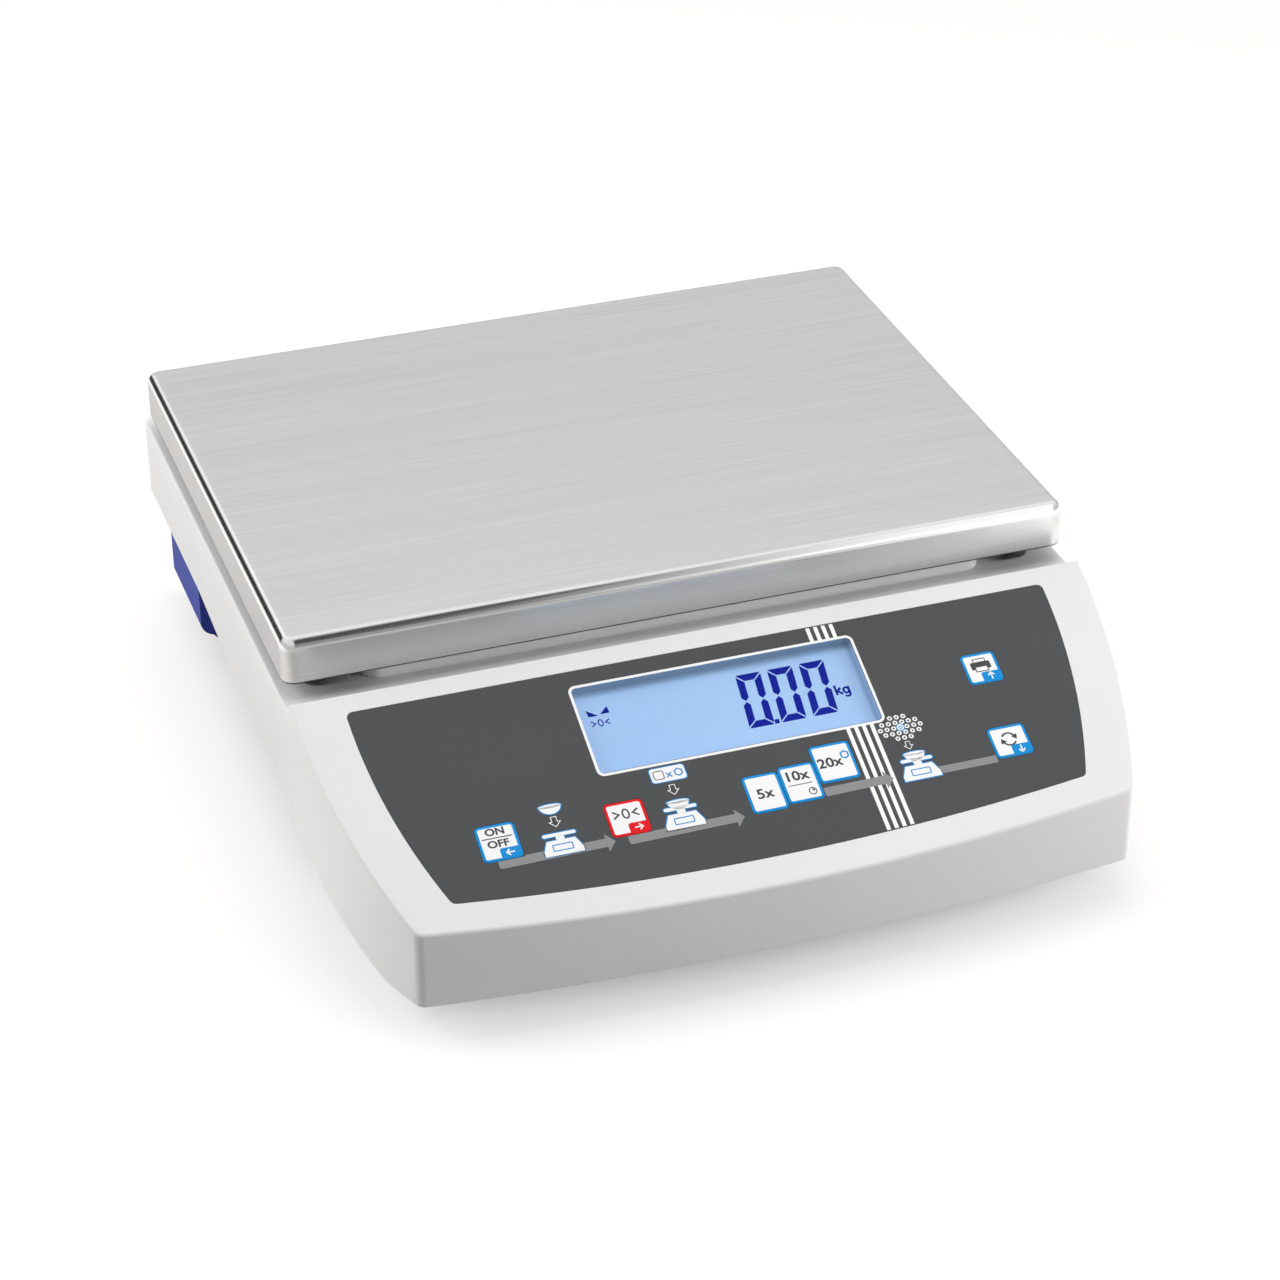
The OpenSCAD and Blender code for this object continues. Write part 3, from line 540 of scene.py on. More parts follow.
def make_board_lacquer():
    """Lighter lacquer where either of two squeezed noises crosses a thin level."""
    tree = new_finish("board_green", "green_board_lacquer")
    space = shader_space(tree)
    levels = [noise(stretched(space, factors), 1.0, 0.0) for factors in SQUEEZED]
    trace = math_node("MAXIMUM", *(remap(abs(level - 0.5), 0.02, 0.03, 1.0, 0.0)
                                   for level in levels))
    relief = node(tree, "Bump", {"Height": trace, "Distance": 0.00003})
    lacquer = mix_colour(trace, (0.008, 0.075, 0.028, 1), (0.025, 0.16, 0.05, 1))
    principled(tree, {"Base Color": lacquer, "Roughness": remap(trace, 0.0, 1.0, 0.34, 0.28),
                      "Normal": relief})


make_board_lacquer()
print(len(FINISHES), "finishes in all, before the plate")

# %% [markdown]
# ### The plate's brushed steel
#
# The plate is a flat sheet that was brushed first and folded afterwards. Its streaks therefore run
# from side to side on the top, along the front and the back skirt, and down the two side skirts.
# A UV map that holds the unfolded sheet gives exactly that. The upright corners were welded and
# blasted, so an attribute on the mesh blends them to the blasted effect. A second attribute makes
# the skirt a little rougher than the top, as handling does, and paints it a little darker, which is
# painted shade. Brushed metal also spreads a reflection across its scratches, which the shader's
# anisotropy does.

# %% Plate steel


def make_plate_steel():
    """Brushed effect on the unfolded sheet, blended to the blasted one by the corner attribute."""
    tree = new_finish("plate_steel", "brushed_plate_steel")
    brushed = effect(tree, "brushed", (0.64, 0.64, 0.638), "sheet", roughness=0.17, contrast=0.45,
                     bands=0.10)
    blasted = effect(tree, "blasted", (0.62, 0.61, 0.60), grain_size=0.0007, roughness=0.42)
    corner, folded = (node(tree, "Attribute", attribute_name=name)["Fac"]
                      for name in ("welded_corner", "folded_skirt"))
    colour = mix_colour(corner, brushed["Colour"], blasted["Colour"])
    # Painted shade: the skirt is made a tenth darker than the top.
    colour = mix_colour(folded * 0.10, colour, BLACK)
    gloss = mix_value(corner, brushed["Roughness"] + folded * 0.16, blasted["Roughness"])
    fine = node(tree, "Bump", {"Height": brushed["Height"], "Distance": 0.000002})
    coarse = node(tree, "Bump", {"Height": blasted["Height"] * corner, "Distance": 0.00006,
                                 "Normal": fine})
    along = node(tree, "Tangent", direction_type="UV_MAP", uv_map="sheet")
    principled(tree, {"Base Color": colour, "Roughness": gloss, "Normal": coarse, "Tangent": along,
                      "Metallic": 1.0, "Anisotropic": 0.55, "Anisotropic Rotation": 0.25})


make_plate_steel()
# Painted shade: the plate's inside and cut edge are nearly black steel, so the room under the plate
# reads dark.
finish("plate_inside", "steel_inside_painted_dark", "blasted", (0.06, 0.06, 0.06), 0.00001, METAL,
       grain_size=0.0008, roughness=0.55)
print("plate steel ready")

# %% [markdown]
# ## Floor and light
#
# The scale stands on a white floor that runs out of sight. A floor that is simply lit is never
# quite white, and more light would bleach the object. Light Path tells a ray from the camera apart,
# so the floor's own colour is lifted to white for it and for mirror rays, while the shading that
# carries the shadow stays. The world does the same: white to the camera, softer as a light. Under
# and just round the scale the lift is smaller, which paints a contact shadow there.

# %% Floor
FLOOR_LIFT, FLOOR_UNDER = 0.60, 0.36
FLOOR_HALF = 6


def contact_shade(x, y):
    """The light added for the camera, less under the scale, where little light gets in: a painted
    contact shadow. How far a point lies inside the outline is the least of its distances to the
    sides, front and back."""
    low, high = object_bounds()
    across = abs(x)
    side = remap(y, -0.185, -0.04, high[0] - 0.025, high[0]) - across
    front = y - low[1] - across * (across * 0.9)
    inside = math_node("MINIMUM", side, math_node("MINIMUM", front, high[1] - y))
    return remap(inside, -0.004, 0.034, FLOOR_LIFT, FLOOR_UNDER, SOFT)


def mirror_lift(x, y):
    """The light that mirrors add to the floor, a painted reflection that the camera doesn't see:
    less on a grey card that lies in front, whose right edge leans to the right with the distance,
    less on a strip beside the left wall, and most at the right."""
    card = remap(x + y * 0.41, 0.0, 0.12, 1.0, 0.0) * remap(y, -0.25, -0.10, 1.0, 0.0)
    strip = remap(abs(x + 0.21), 0.05, 0.09, 1.0, 0.0) * remap(y, -0.06, 0.04, 0.0, 1.0)
    plain = remap(strip, 0.0, 1.0, 0.95, 0.30) + remap(x, 0.0, 0.15, 0.0, 0.35)
    return mix_value(card, plain, 0.25)


def make_floor_finish():
    """Diffuse floor, which the camera and mirrors see with added light so that it reaches white.
    From below it is clear, so that the underside can be looked at."""
    tree = new_finish("studio_floor", "studio_floor")
    path = node(tree, "LightPath")
    seen = math_node("MAXIMUM", path["Is Camera Ray"], math_node(
        "MAXIMUM", path["Is Glossy Ray"], path["Is Transmission Ray"]))
    x, y = axes(shader_space(tree))[:2]
    lift = mix_value(path["Is Glossy Ray"], contact_shade(x, y), mirror_lift(x, y))
    lit = node(tree, "BsdfDiffuse", {"Color": (0.47, 0.457, 0.432, 1)})
    glow = node(tree, "Emission", {"Color": WHITE, "Strength": seen * lift})
    both = node(tree, "AddShader", {0: lit, 1: glow})
    below = node(tree, "NewGeometry")["Backfacing"]
    one_sided = node(tree, "MixShader", {0: below, 1: both, 2: node(tree, "BsdfTransparent")})
    node(tree, "OutputMaterial", {"Surface": one_sided})


def make_floor():
    """One flat square at the height of the rubber pads."""
    make_floor_finish()
    corners = [(x * FLOOR_HALF, y * FLOOR_HALF, 0) for x, y in ((-1, -1), (1, -1), (1, 1), (-1, 1))]
    mesh = bpy.data.meshes.new("studio_floor")
    mesh.from_pydata(corners, [], [(0, 1, 2, 3)])
    mesh.materials.append(FINISHES["studio_floor"])
    floor = place_in_scene("studio_floor", mesh)
    floor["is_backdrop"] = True
    return floor


floor = make_floor()
print("floor at the height", floor.location.z)

# %% [markdown]
# ## The world
#
# The world has two jobs. As a light it is bright all round, with one wide dim patch on the camera's
# side, so that the front stays a little darker than the sides and the top. As the thing that metal
# mirrors it is white paper with two dark flags, one overhead and one low at the back left, and a
# bright strip beside each of them. In a studio such flags draw dark lines along the bends of a
# steel sheet, which would look like plastic without them. A patch is where a direction's dot
# product with its middle is large, and Light Path tells the mirror rays apart.

# %% World
WORLD_BRIGHT, WORLD_DIM = 0.80, 0.05
DIM_MIDDLE = (-0.36, -0.90, 0.38)
PATCHES = [((-0.55, 0.82, 0.15), 0.925, 0.955, 0.05), ((-0.22, 0.84, 0.49), 0.978, 0.988, 1.5)]


def closeness(way, middle):
    """Cosine of the angle between a direction and a middle direction."""
    return dot(way, Vector(middle).normalized())


def mirror_level(way):
    """White paper, a little brighter above half height, times one factor for each patch. On the
    camera's side, where height less depth is large, hangs a flag, grey below and dark overhead,
    with a bright card to its right. Neither reaches straight up."""
    x, y, z = axes(way)
    leaning = z - y * 1.2
    strip = remap(z, 0.58, 0.72, 0.0, 0.22) * remap(leaning, 0.60, 0.74, 1.0, 0.0)
    level = remap(z, 0.45, 0.54, 0.82, 1.06) * (strip + 1.0)
    for middle, edge, inside, factor in PATCHES:
        level = level * remap(closeness(way, middle), edge, inside, 1.0, factor)
    high = remap(leaning, 0.80, 0.98, 0.0, 1.0) * remap(z, 0.972, 0.988, 1.0, 0.0)
    wide = remap(x, -0.06, 0.08, 0.0, 1.0) * remap(x, 0.50, 0.62, 1.0, 0.0)
    flag, card = remap(z, 0.36, 0.62, 0.45, 0.04), remap(z, 0.30, 0.55, 2.6, 1.5)
    hung = mix_value(remap(x, 0.26, 0.35, 0.0, 1.0), flag, card)
    return level * mix_value(high * wide, 1.0, hung)


def make_world():
    """White to the camera, one level for diffuse rays and another for mirror rays."""
    world = bpy.data.worlds.new("studio")
    bpy.context.scene.world = world
    world.use_nodes = True
    tree = world.node_tree
    tree.nodes.clear()
    way = node(tree, "TexCoord")["Generated"]
    path = node(tree, "LightPath")
    soft = remap(closeness(way, DIM_MIDDLE), 0.02, 0.74, WORLD_BRIGHT, WORLD_DIM)
    level = mix_value(path["Is Glossy Ray"], soft, mirror_level(way))
    level = mix_value(path["Is Camera Ray"], level, 1.0)
    light = node(tree, "Background", {"Color": WHITE, "Strength": level})
    node(tree, "OutputWorld", {"Surface": light})


make_world()
bpy.context.scene.view_settings.view_transform = "Standard"
print("world levels:", WORLD_BRIGHT, WORLD_DIM, " patches:", len(PATCHES))

# %% [markdown]
# ## Lamps
#
# A large lamp high at the left lights the side wall and the top. A second one low at the right
# brightens the front towards its right end, and a third above lifts the panel. All are area lamps,
# because a small lamp would draw hard shadows that a light box doesn't have. All are kept out of
# mirrors, where they would break the flags and bleach the plate from some sides.

# %% Lamps
# name: place, point to shine at, size, power
LAMPS = {"left_lamp": ((-1.3, 0.35, 1.0), (0, 0, 0.08), 1.0, 16.0),
         "right_lamp": ((1.15, -0.75, 0.45), (0, 0, 0.06), 0.6, 12.0),
         "top_lamp": ((0.15, 0.0, 1.6), (0, -0.05, 0.08), 0.9, 5.4)}


def add_lamp(name, place, aim, size, power):
    """A square area lamp at a place, turned to shine at a point."""
    lamp = bpy.data.lights.new(name, "AREA")
    lamp.shape, lamp.size, lamp.energy = "SQUARE", size, power
    thing = place_in_scene(name, lamp)
    turn = (Vector(aim) - Vector(place)).to_track_quat("-Z", "Y")
    thing.matrix_world = Matrix.Translation(place) @ turn.to_matrix().to_4x4()
    thing.visible_glossy = False


for name, row in LAMPS.items():
    add_lamp(name, *row)
print("lamps:", list(LAMPS))

# %% [markdown]
# ## Shape helpers
#
# Each new piece is a surface on a grid. Rows of points go round the piece at one height after
# another, and neighbouring rows are joined by quads. Blender could model the same forms by hand
# with extrude and bevel. A formula is used instead, because it gives every row at once as an array
# and keeps to the CAD model's own numbers.

# %% Shape helpers
MM = 0.001


def grid_faces(rows, columns, close_rows=False, close_columns=True):
    """Quads of a grid: each joins two neighbouring rows and two neighbouring columns, and the last
    column or row joins the first where the grid closes on itself."""
    r = np.arange(rows if close_rows else rows - 1)
    c = np.arange(columns if close_columns else columns - 1)
    r0, c0 = (a.ravel() for a in np.meshgrid(r, c, indexing="ij"))
    r1, c1 = (r0 + 1) % rows, (c0 + 1) % columns
    corners = (r0 * columns + c0, r0 * columns + c1, r1 * columns + c1, r1 * columns + c0)
    return np.stack(corners, axis=-1).tolist()


def closed_solid(rings):
    """Rings of points from the bottom up, with a flat face at each end."""
    rings = np.asarray(rings, dtype=float)
    rows, columns = rings.shape[:2]
    faces = grid_faces(rows, columns)
    faces.append(list(range(columns))[::-1])
    faces.append(list(range((rows - 1) * columns, rows * columns)))
    return rings.reshape(-1, 3), faces


def closed_band(rings):
    """Rings that come back to the first one: a frame or a tube with a hole through it."""
    rings = np.asarray(rings, dtype=float)
    return rings.reshape(-1, 3), grid_faces(*rings.shape[:2], close_rows=True)


def joined(parts):
    """Several (points, faces) shapes as one, each with its faces' numbers moved up."""
    points, faces, start = [], [], 0
    for some_points, some_faces in parts:
        points.append(some_points)
        faces += [[index + start for index in face] for face in some_faces]
        start += len(some_points)
    return np.concatenate(points), faces


def mesh_of(name, shape):
    """A mesh from faces and from points in millimetres."""
    points, faces = shape
    mesh = bpy.data.meshes.new(name)
    mesh.from_pydata((np.asarray(points) * MM).tolist(), [], faces)
    return mesh


def shade_smooth(mesh, angle):
    """Smooth shading up to an angle in degrees."""
    mesh.polygons.foreach_set("use_smooth", [True] * len(mesh.polygons))
    mesh.set_sharp_from_angle(angle=math.radians(angle))


def make_piece(name, shape, finishes, body, replaces=(), face_finish=None, smooth=30):
    """A mesh object with its finishes, one for all faces or a number for each. It rides on a CAD
    body and may stand for CAD nodes."""
    mesh = mesh_of(name, shape)
    for key in finishes:
        mesh.materials.append(FINISHES[key])
    if face_finish is not None:
        mesh.polygons.foreach_set("material_index", face_finish)
    mesh.update()
    shade_smooth(mesh, smooth)
    piece = place_in_scene(name, mesh)
    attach(piece, body)
    if replaces:
        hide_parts(*replaces)
    print(f"{name}: {len(mesh.vertices)} points, {len(mesh.polygons)} faces, rides on {body}")
    return piece


def arc_points(centre, radius, turn):
    """Points of an arc at the given angles."""
    return np.asarray(centre) + radius * np.column_stack([np.cos(turn), np.sin(turn)])


def corner_arc(side_c, side_r, front_c, front_r, corner_r):
    """A small arc that touches two large ones from inside: its centre, and the angles at which it
    leaves the one and meets the other."""
    gap = front_c - side_c
    d = np.linalg.norm(gap)
    near, far = side_r - corner_r, front_r - corner_r
    a = (near ** 2 - far ** 2 + d * d) / (2 * d)
    h = math.sqrt(near ** 2 - a * a)
    hub = side_c + a * gap / d + h * np.array([gap[1], -gap[0]]) / d
    return hub, math.atan2(*(hub - side_c)[::-1]), math.atan2(*(hub - front_c)[::-1])


def rounded_outline(width, depth, radius, centre=(0.0, 0.0), steps=8):
    """A rectangle with quarter-circle corners, counter-clockwise from the right side's foot."""
    angles = np.radians(np.linspace(0, 90, steps + 1))
    arc = np.stack([np.cos(angles), np.sin(angles)], axis=-1) * radius
    turns = [np.array([[c, s], [-s, c]]) for c, s in ((1, 0), (0, 1), (-1, 0), (0, -1))]
    corner = [(1, 1), (-1, 1), (-1, -1), (1, -1)]
    hub = np.array([width / 2 - radius, depth / 2 - radius])
    parts = [arc @ turn + hub * sign for turn, sign in zip(turns, corner)]
    return np.concatenate(parts) + np.asarray(centre)


def at_height(outline, z):
    """An (x, y) outline as points at height z, which may be one number or one for each point."""
    return np.column_stack([outline, np.broadcast_to(z, len(outline))])


def node_size(name):
    """Low corner, high corner and size of a CAD node, in millimetres."""
    low, high = (np.array(corner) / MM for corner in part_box(name))
    return low, high, high - low


print("an example outline has", len(rounded_outline(10, 10, 2)), "points")

# %% [markdown]
# ## The weighing plate
#
# The plate is one sheet, 1.2 mm thick, with its four sides folded down into a skirt. Its bend and
# its upright corners have different radii, so the corner is a piece of a small ring-shaped surface.
# A bevelled cube could come close. Here each row is the plate's outline drawn in by the bend's own
# quarter circle, and the corner's radius shrinks by the same amount, which gives the true form. The
# rows run from the inner top, down the inside, round the rim and up the outside, so the sheet has
# its thickness without a modifier. Only the outer face is brushed. The inside and the cut edge are
# painted nearly black, a painted shade for the dark room under the plate.

# %% Weighing plate
PLATE_LOW, PLATE_HIGH, PLATE_SIZE = node_size("weighing_plate")
PLATE_CENTRE = (PLATE_LOW + PLATE_HIGH)[:2] / 2
PLATE_BEND, PLATE_CORNER, PLATE_SHEET = 4.2, 6.0, 1.2
WELD_MARGIN = 1.6
CUT_EDGE, RIM_R = 0.7, 0.35


def plate_outline(inset):
    """The rounded rectangle drawn in by inset, with one more point beside each end of a corner."""
    width, depth = PLATE_SIZE[:2] - 2 * inset
    outline = rounded_outline(width, depth, PLATE_CORNER - inset, PLATE_CENTRE, steps=10)
    quarters = outline.reshape(4, -1, 2)
    along = np.array([[0, 1], [-1, 0], [0, -1], [1, 0]])
    before = quarters[:, 0] - along * WELD_MARGIN
    after = quarters[:, -1] + np.roll(along, -1, axis=0) * WELD_MARGIN
    return np.concatenate([before[:, None], quarters, after[:, None]], axis=1).reshape(-1, 2)


def plate_section(drawn_in):
    """(inset, height, distance along the sheet from the flat top) of each row of one skin."""
    radius = PLATE_BEND - drawn_in
    turn = np.radians(np.linspace(90, 0, 12))
    top = PLATE_HIGH[2] - drawn_in
    inset = drawn_in + radius * (1 - np.cos(turn))
    height = top - radius * (1 - np.sin(turn))
    length = PLATE_BEND * (math.pi / 2 - turn)
    skirt = np.array([[drawn_in, z, length[-1] + height[-1] - z]
                      for z in (height[-1] - 0.6, height[-1] - 1.6, PLATE_LOW[2] + CUT_EDGE,
                                PLATE_LOW[2] + RIM_R)])
    flat = np.array([[PLATE_BEND + 0.8, top, -0.8], [PLATE_BEND + 0.3, top, -0.3]])
    return np.concatenate([flat, np.column_stack([inset, height, length]), skirt])


def plate_rows():
    """Inner skin down, a small round rim, outer skin up, and how many of the rows are inside."""
    inner = plate_section(PLATE_SHEET)
    outer = plate_section(0.0)[::-1]
    half = PLATE_SHEET / 2
    turn = np.radians(np.array([45, 90, 135]))
    rim = np.column_stack([half + half * np.cos(turn), PLATE_LOW[2] + RIM_R * (1 - np.sin(turn)),
                           np.full(len(turn), outer[0, 2])])
    return np.concatenate([inner, rim, outer]), len(inner) + len(rim) + 1


def add_mask(mesh, name, values):
    """A number between 0 and 1 on every point, for the shader."""
    mesh.attributes.new(name, "FLOAT", "POINT").data.foreach_set("value", values.ravel())


def build_plate():
    """The folded sheet. The unfolded place of every point is kept for the UV map, and the weld mask
    is full on the upright corners and fades above the skirt."""
    rows, inside_rows = plate_rows()
    rings = np.array([at_height(plate_outline(inset), z) for inset, z, _ in rows])
    sheet = np.array([plate_outline(PLATE_BEND - length) for _, _, length in rows])
    turn = np.linspace(0.25, math.pi - 0.25, rings.shape[1] // 4 - 2)
    across = np.tile(np.r_[0.0, np.clip(np.sin(turn) * 1.6, 0, 1), 0.0], 4)
    upright = np.clip((PLATE_HIGH[2] - PLATE_BEND + 0.2 - rows[:, 1]) / 1.2, 0, 1)
    shape = closed_solid(rings)
    inside = np.zeros(len(shape[1]), dtype=np.int32)
    inside[:inside_rows * rings.shape[1]] = 1
    inside[-2] = 1
    plate = make_piece("brushed_plate", shape, ["plate_steel", "plate_inside"], "pan",
                       replaces=["weighing_plate"], face_finish=inside)
    mesh = plate.data
    corner_of = np.empty(len(mesh.loops), dtype=np.int32)
    mesh.loops.foreach_get("vertex_index", corner_of)
    layer = mesh.uv_layers.new(name="sheet")
    layer.data.foreach_set("uv", (sheet.reshape(-1, 2)[corner_of] * MM).ravel())
    add_mask(mesh, "welded_corner", np.outer(upright, across))
    add_mask(mesh, "folded_skirt", np.outer(upright, np.ones(len(across))))


build_plate()
print("plate size in mm:", np.round(PLATE_HIGH - PLATE_LOW, 1))

# %% [markdown]
# ## The top housing
#
# The housing is a thin moulded shell. Seen from above it has a straight back, nearly straight
# sides that draw in along an arc beside the panel, and a long shallow arc along the front. Seen
# from the side it has a level deck, a low ridge and the sloping panel. The shell is worked out as
# the outline above times the profile beside: each side point of the outline starts one row of the
# top, and the row's height comes from the profile. Rounded edges come from two small formulas, a
# soft minimum for ridges and a soft maximum for hollows.

# %% Housing profile and outline
SHELL_LOW, SHELL_HIGH, SHELL_SIZE = node_size("top_housing")
HALF_W, BACK_Y, FRONT_Y = SHELL_SIZE[0] / 2, SHELL_HIGH[1], SHELL_LOW[1]
DECK_Z, SKIRT_Z, FRONT_Z, WALL = 92.4, 56.4, 18.5, 2.5
RIDGE_Y, RIDGE_Z, RIDGE_RUN = -79.6, 99.3, 5.0
TILT = math.radians(24.2)
SIDE_R, FRONT_R, CORNER_R = 268.0, 1230.0, 5.0
EDGE_R, EDGE_WEIGHT, EDGE_STEPS = 1.1, 0.76, 7
KNEE_Y, KNEE_Z, FRONT_RUN, BACK_RUN = -86.0, 39.6, 76.0, 176.0
BULGE_Y = -120.0
FRONT_COLUMNS = 73


def soft_min(a, b, reach):
    """The smaller of two values, blended by a parabola where they differ by less than reach."""
    return np.minimum(a, b) - np.maximum(reach - np.abs(a - b), 0) ** 2 / (4 * reach)


def soft_max(a, b, reach):
    """The larger of two values, blended the same way."""
    return -soft_min(-a, -b, reach)


def top_z(y):
    """The panel's plane in front. Behind it the lower of panel and back slope, but never less than
    the deck: the first change of shape makes the ridge and the second one its hollow foot."""
    y = np.asarray(y, dtype=float)
    panel = RIDGE_Z + math.tan(TILT) * (y - RIDGE_Y)
    slope = RIDGE_Z - (RIDGE_Z - DECK_Z) / RIDGE_RUN * (y - RIDGE_Y)
    behind = soft_max(soft_min(panel, slope, 1.6), np.full_like(y, DECK_Z), 3.0)
    return np.where(y < RIDGE_Y - 3, panel, behind)


def low_z(y):
    """Lower edge of the side: level in front, rising in two slopes that meet at the knee, level at
    the back."""
    front_rise = KNEE_Z + (KNEE_Z - FRONT_Z) / FRONT_RUN * (y - KNEE_Y)
    back_rise = KNEE_Z + (SKIRT_Z - KNEE_Z) / BACK_RUN * (y - KNEE_Y)
    edge = soft_max(np.full_like(y, FRONT_Z), front_rise, 1.0)
    return soft_min(soft_min(edge, back_rise, 0.8), np.full_like(y, SKIRT_Z), 0.5)


# Where each stretch of rows starts, and how many it has.
ROW_MARKS = [(187.5, 10), (95, 6), (85, 20), (-68, 6), (-73, 28), (-82, 10), (-92, 22), (-155, 8)]
ROWS_END = -170


def side_rows():
    """Places of the rows from back to front: close together where the profile bends."""
    starts = [y for y, _ in ROW_MARKS]
    ends = starts[1:] + [ROWS_END]
    return np.concatenate([np.linspace(start, end, count, endpoint=False)
                           for (start, count), end in zip(ROW_MARKS, ends)])


ROWS_Y = side_rows()


def side_points(inset):
    """Right side from back to front, corner arcs included: straight beside the deck, then the side
    arc, and at its end the small arc that meets the front arc."""
    side_c = np.array([HALF_W - SIDE_R, RIDGE_Y])
    front_c = np.array([0.0, FRONT_Y + FRONT_R])
    hub, side_end, front_start = corner_arc(side_c, SIDE_R, front_c, FRONT_R, CORNER_R)
    back = arc_points((HALF_W - CORNER_R, BACK_Y - CORNER_R), CORNER_R - inset,
                      np.linspace(math.pi / 2, 0, 9)[:-1])
    radius = SIDE_R - inset
    end_y = side_c[1] + radius * math.sin(side_end)
    y = np.concatenate([ROWS_Y, np.linspace(ROWS_END, end_y, 5)[:-1]])
    x = side_c[0] + np.sqrt(radius ** 2 - np.minimum(y - side_c[1], 0) ** 2)
    front = arc_points(hub, CORNER_R - inset, np.linspace(side_end, front_start, 12))
    arc = arc_points(front_c, FRONT_R - inset,
                     np.linspace(front_start, -math.pi - front_start, FRONT_COLUMNS))
    return np.concatenate([back, np.column_stack([x, y]), front]), arc


def shell_ring(inset):
    """The whole outline, counter-clockwise from the front arc's left end: front, right side, back,
    left side."""
    side, arc = side_points(inset)
    left = side * (-1, 1)
    back_x = side[0, 0] * (arc[:, 0] / arc[0, 0])[1:-1]
    back = np.column_stack([back_x, np.full(len(back_x), side[0, 1])])
    return np.concatenate([arc[::-1][:-1], side[::-1], back, left[:-1]])


def shell_top(inset, drop):
    """The top as a grid of rows from left to right: each row joins a left and a right side point,
    and near the front it takes on the bulge of the front arc."""
    side, arc = side_points(inset)
    across = (arc[:, 0] / arc[0, 0])[::-1]
    bulge = arc[::-1, 1] - arc[0, 1]
    near_front = np.clip((BULGE_Y - side[:, 1]) / (BULGE_Y - side[-1, 1]), 0, 1) ** 2
    near_front[side[:, 1] > BULGE_Y] = 0
    x = side[:, :1] * across
    y = side[:, 1:] + near_front[:, None] * bulge
    return np.stack([x, y, top_z(y) - drop], axis=-1)


print("outline points:", len(shell_ring(0.0)), " rows:", len(side_points(0.0)[0]))

# %% [markdown]
# The shell is one closed skin: inner top, inner wall, lower rim, outer wall, rounded edge, outer
# top. Blender's Solidify could give the thickness, but it folds over itself inside a small rounded
# edge. Two tops with their own outlines don't. The raised block, the troughs and the screw bosses
# are then joined on, and the openings cut, with Boolean modifiers that are applied at once.

# %% Housing shell
SAME_POINT = 0.000002
SHELL_RIM, WALL_FOOT = 0.4, 0.5


def edge_rows(radius):
    """Rounded edge between the top and the wall: a conic with its corner at their meeting line."""
    inner, outer = shell_ring(radius), shell_ring(0.0)
    a = at_height(inner, top_z(inner[:, 1]))
    b = at_height(outer, top_z(outer[:, 1]))
    c = b - (0, 0, radius)
    t = np.linspace(1, 0, EDGE_STEPS)[:, None, None]
    middle = 2 * EDGE_WEIGHT * t * (1 - t)
    return ((1 - t) ** 2 * a + middle * b + t ** 2 * c) / ((1 - t) ** 2 + middle + t ** 2)


def shell_shape():
    """All rings from the inner top down, round the rim and up the outside, and the two tops."""
    inner, rim, outer = shell_ring(WALL), shell_ring(SHELL_RIM), shell_ring(0.0)
    edge = edge_rows(EDGE_R)
    low = low_z(outer[:, 1])
    wall = [at_height(outer, low + WALL_FOOT + (edge[0][:, 2] - low - WALL_FOOT) * part)
            for part in (0, 0.5)]
    rings = np.array([
        at_height(inner, top_z(inner[:, 1]) - WALL), at_height(inner, low_z(inner[:, 1])),
        at_height(rim, low_z(rim[:, 1])), *wall, *edge])
    band = rings.reshape(-1, 3), grid_faces(*rings.shape[:2])
    tops = []
    for inset, drop, outside in ((WALL, WALL, False), (EDGE_R, 0.0, True)):
        grid = shell_top(inset, drop)
        faces = grid_faces(*grid.shape[:2], close_columns=False)
        tops.append((grid.reshape(-1, 3), [face[::-1] for face in faces] if outside else faces))
    return joined([band, *tops])


def merged(mesh):
    """Joins points that lie on each other, so that the skin is closed. Gives the number of edges
    that are still open."""
    work = bmesh.new()
    work.from_mesh(mesh)
    bmesh.ops.remove_doubles(work, verts=work.verts, dist=SAME_POINT)
    open_edges = sum(not edge.is_manifold for edge in work.edges)
    work.to_mesh(mesh)
    work.free()
    return open_edges


def carve(piece, operation, shape):
    """Adds or cuts a closed shape with an exact Boolean, and applies it."""
    mesh = mesh_of("tool", shape)
    tool = place_in_scene("tool", mesh)
    step = piece.modifiers.new("step", "BOOLEAN")
    step.operation, step.solver, step.object = operation, "EXACT", tool
    view = bpy.context.evaluated_depsgraph_get()
    result = bpy.data.meshes.new_from_object(piece.evaluated_get(view))
    piece.modifiers.remove(step)
    old, piece.data = piece.data, result
    bpy.data.meshes.remove(old)
    bpy.data.objects.remove(tool)
    bpy.data.meshes.remove(mesh)


print("wall in mm:", WALL, " rows round the edge:", EDGE_STEPS)

# %% [markdown]
# The panel slopes, and everything on it is measured along the slope. A helper object could carry
# that turn. Here one formula takes a place on the panel, across and down, to a point in space, so
# outlines can be drawn flat and come out in the right place.

# %% Places on the panel


def on_panel(x, s, n):
    """Panel point: x across, s down the slope from the ridge, n out of the panel."""
    x, s, n = np.broadcast_arrays(*(np.asarray(v, dtype=float) for v in (x, s, n)))
    c, d = math.cos(TILT), math.sin(TILT)
    return np.stack([x, RIDGE_Y - s * c - n * d, RIDGE_Z - s * d + n * c], axis=-1)


def counter_clockwise(outline):
    """Turns an (x, s) outline round if need be, so that it runs counter-clockwise as seen from
    above. Its area's sign tells: half the sum of the cross products of neighbouring points."""
    outline = np.asarray(outline, dtype=float)
    x, y = outline[:, 0], -outline[:, 1]
    area = np.sum(x * np.roll(y, -1) - np.roll(x, -1) * y)
    return outline if area > 0 else outline[::-1]


def panel_prism(outline, low, high):
    """A flat (x, s) shape on the panel between two heights."""
    outline = counter_clockwise(outline)
    return closed_solid([on_panel(outline[:, 0], outline[:, 1], n) for n in (low, high)])


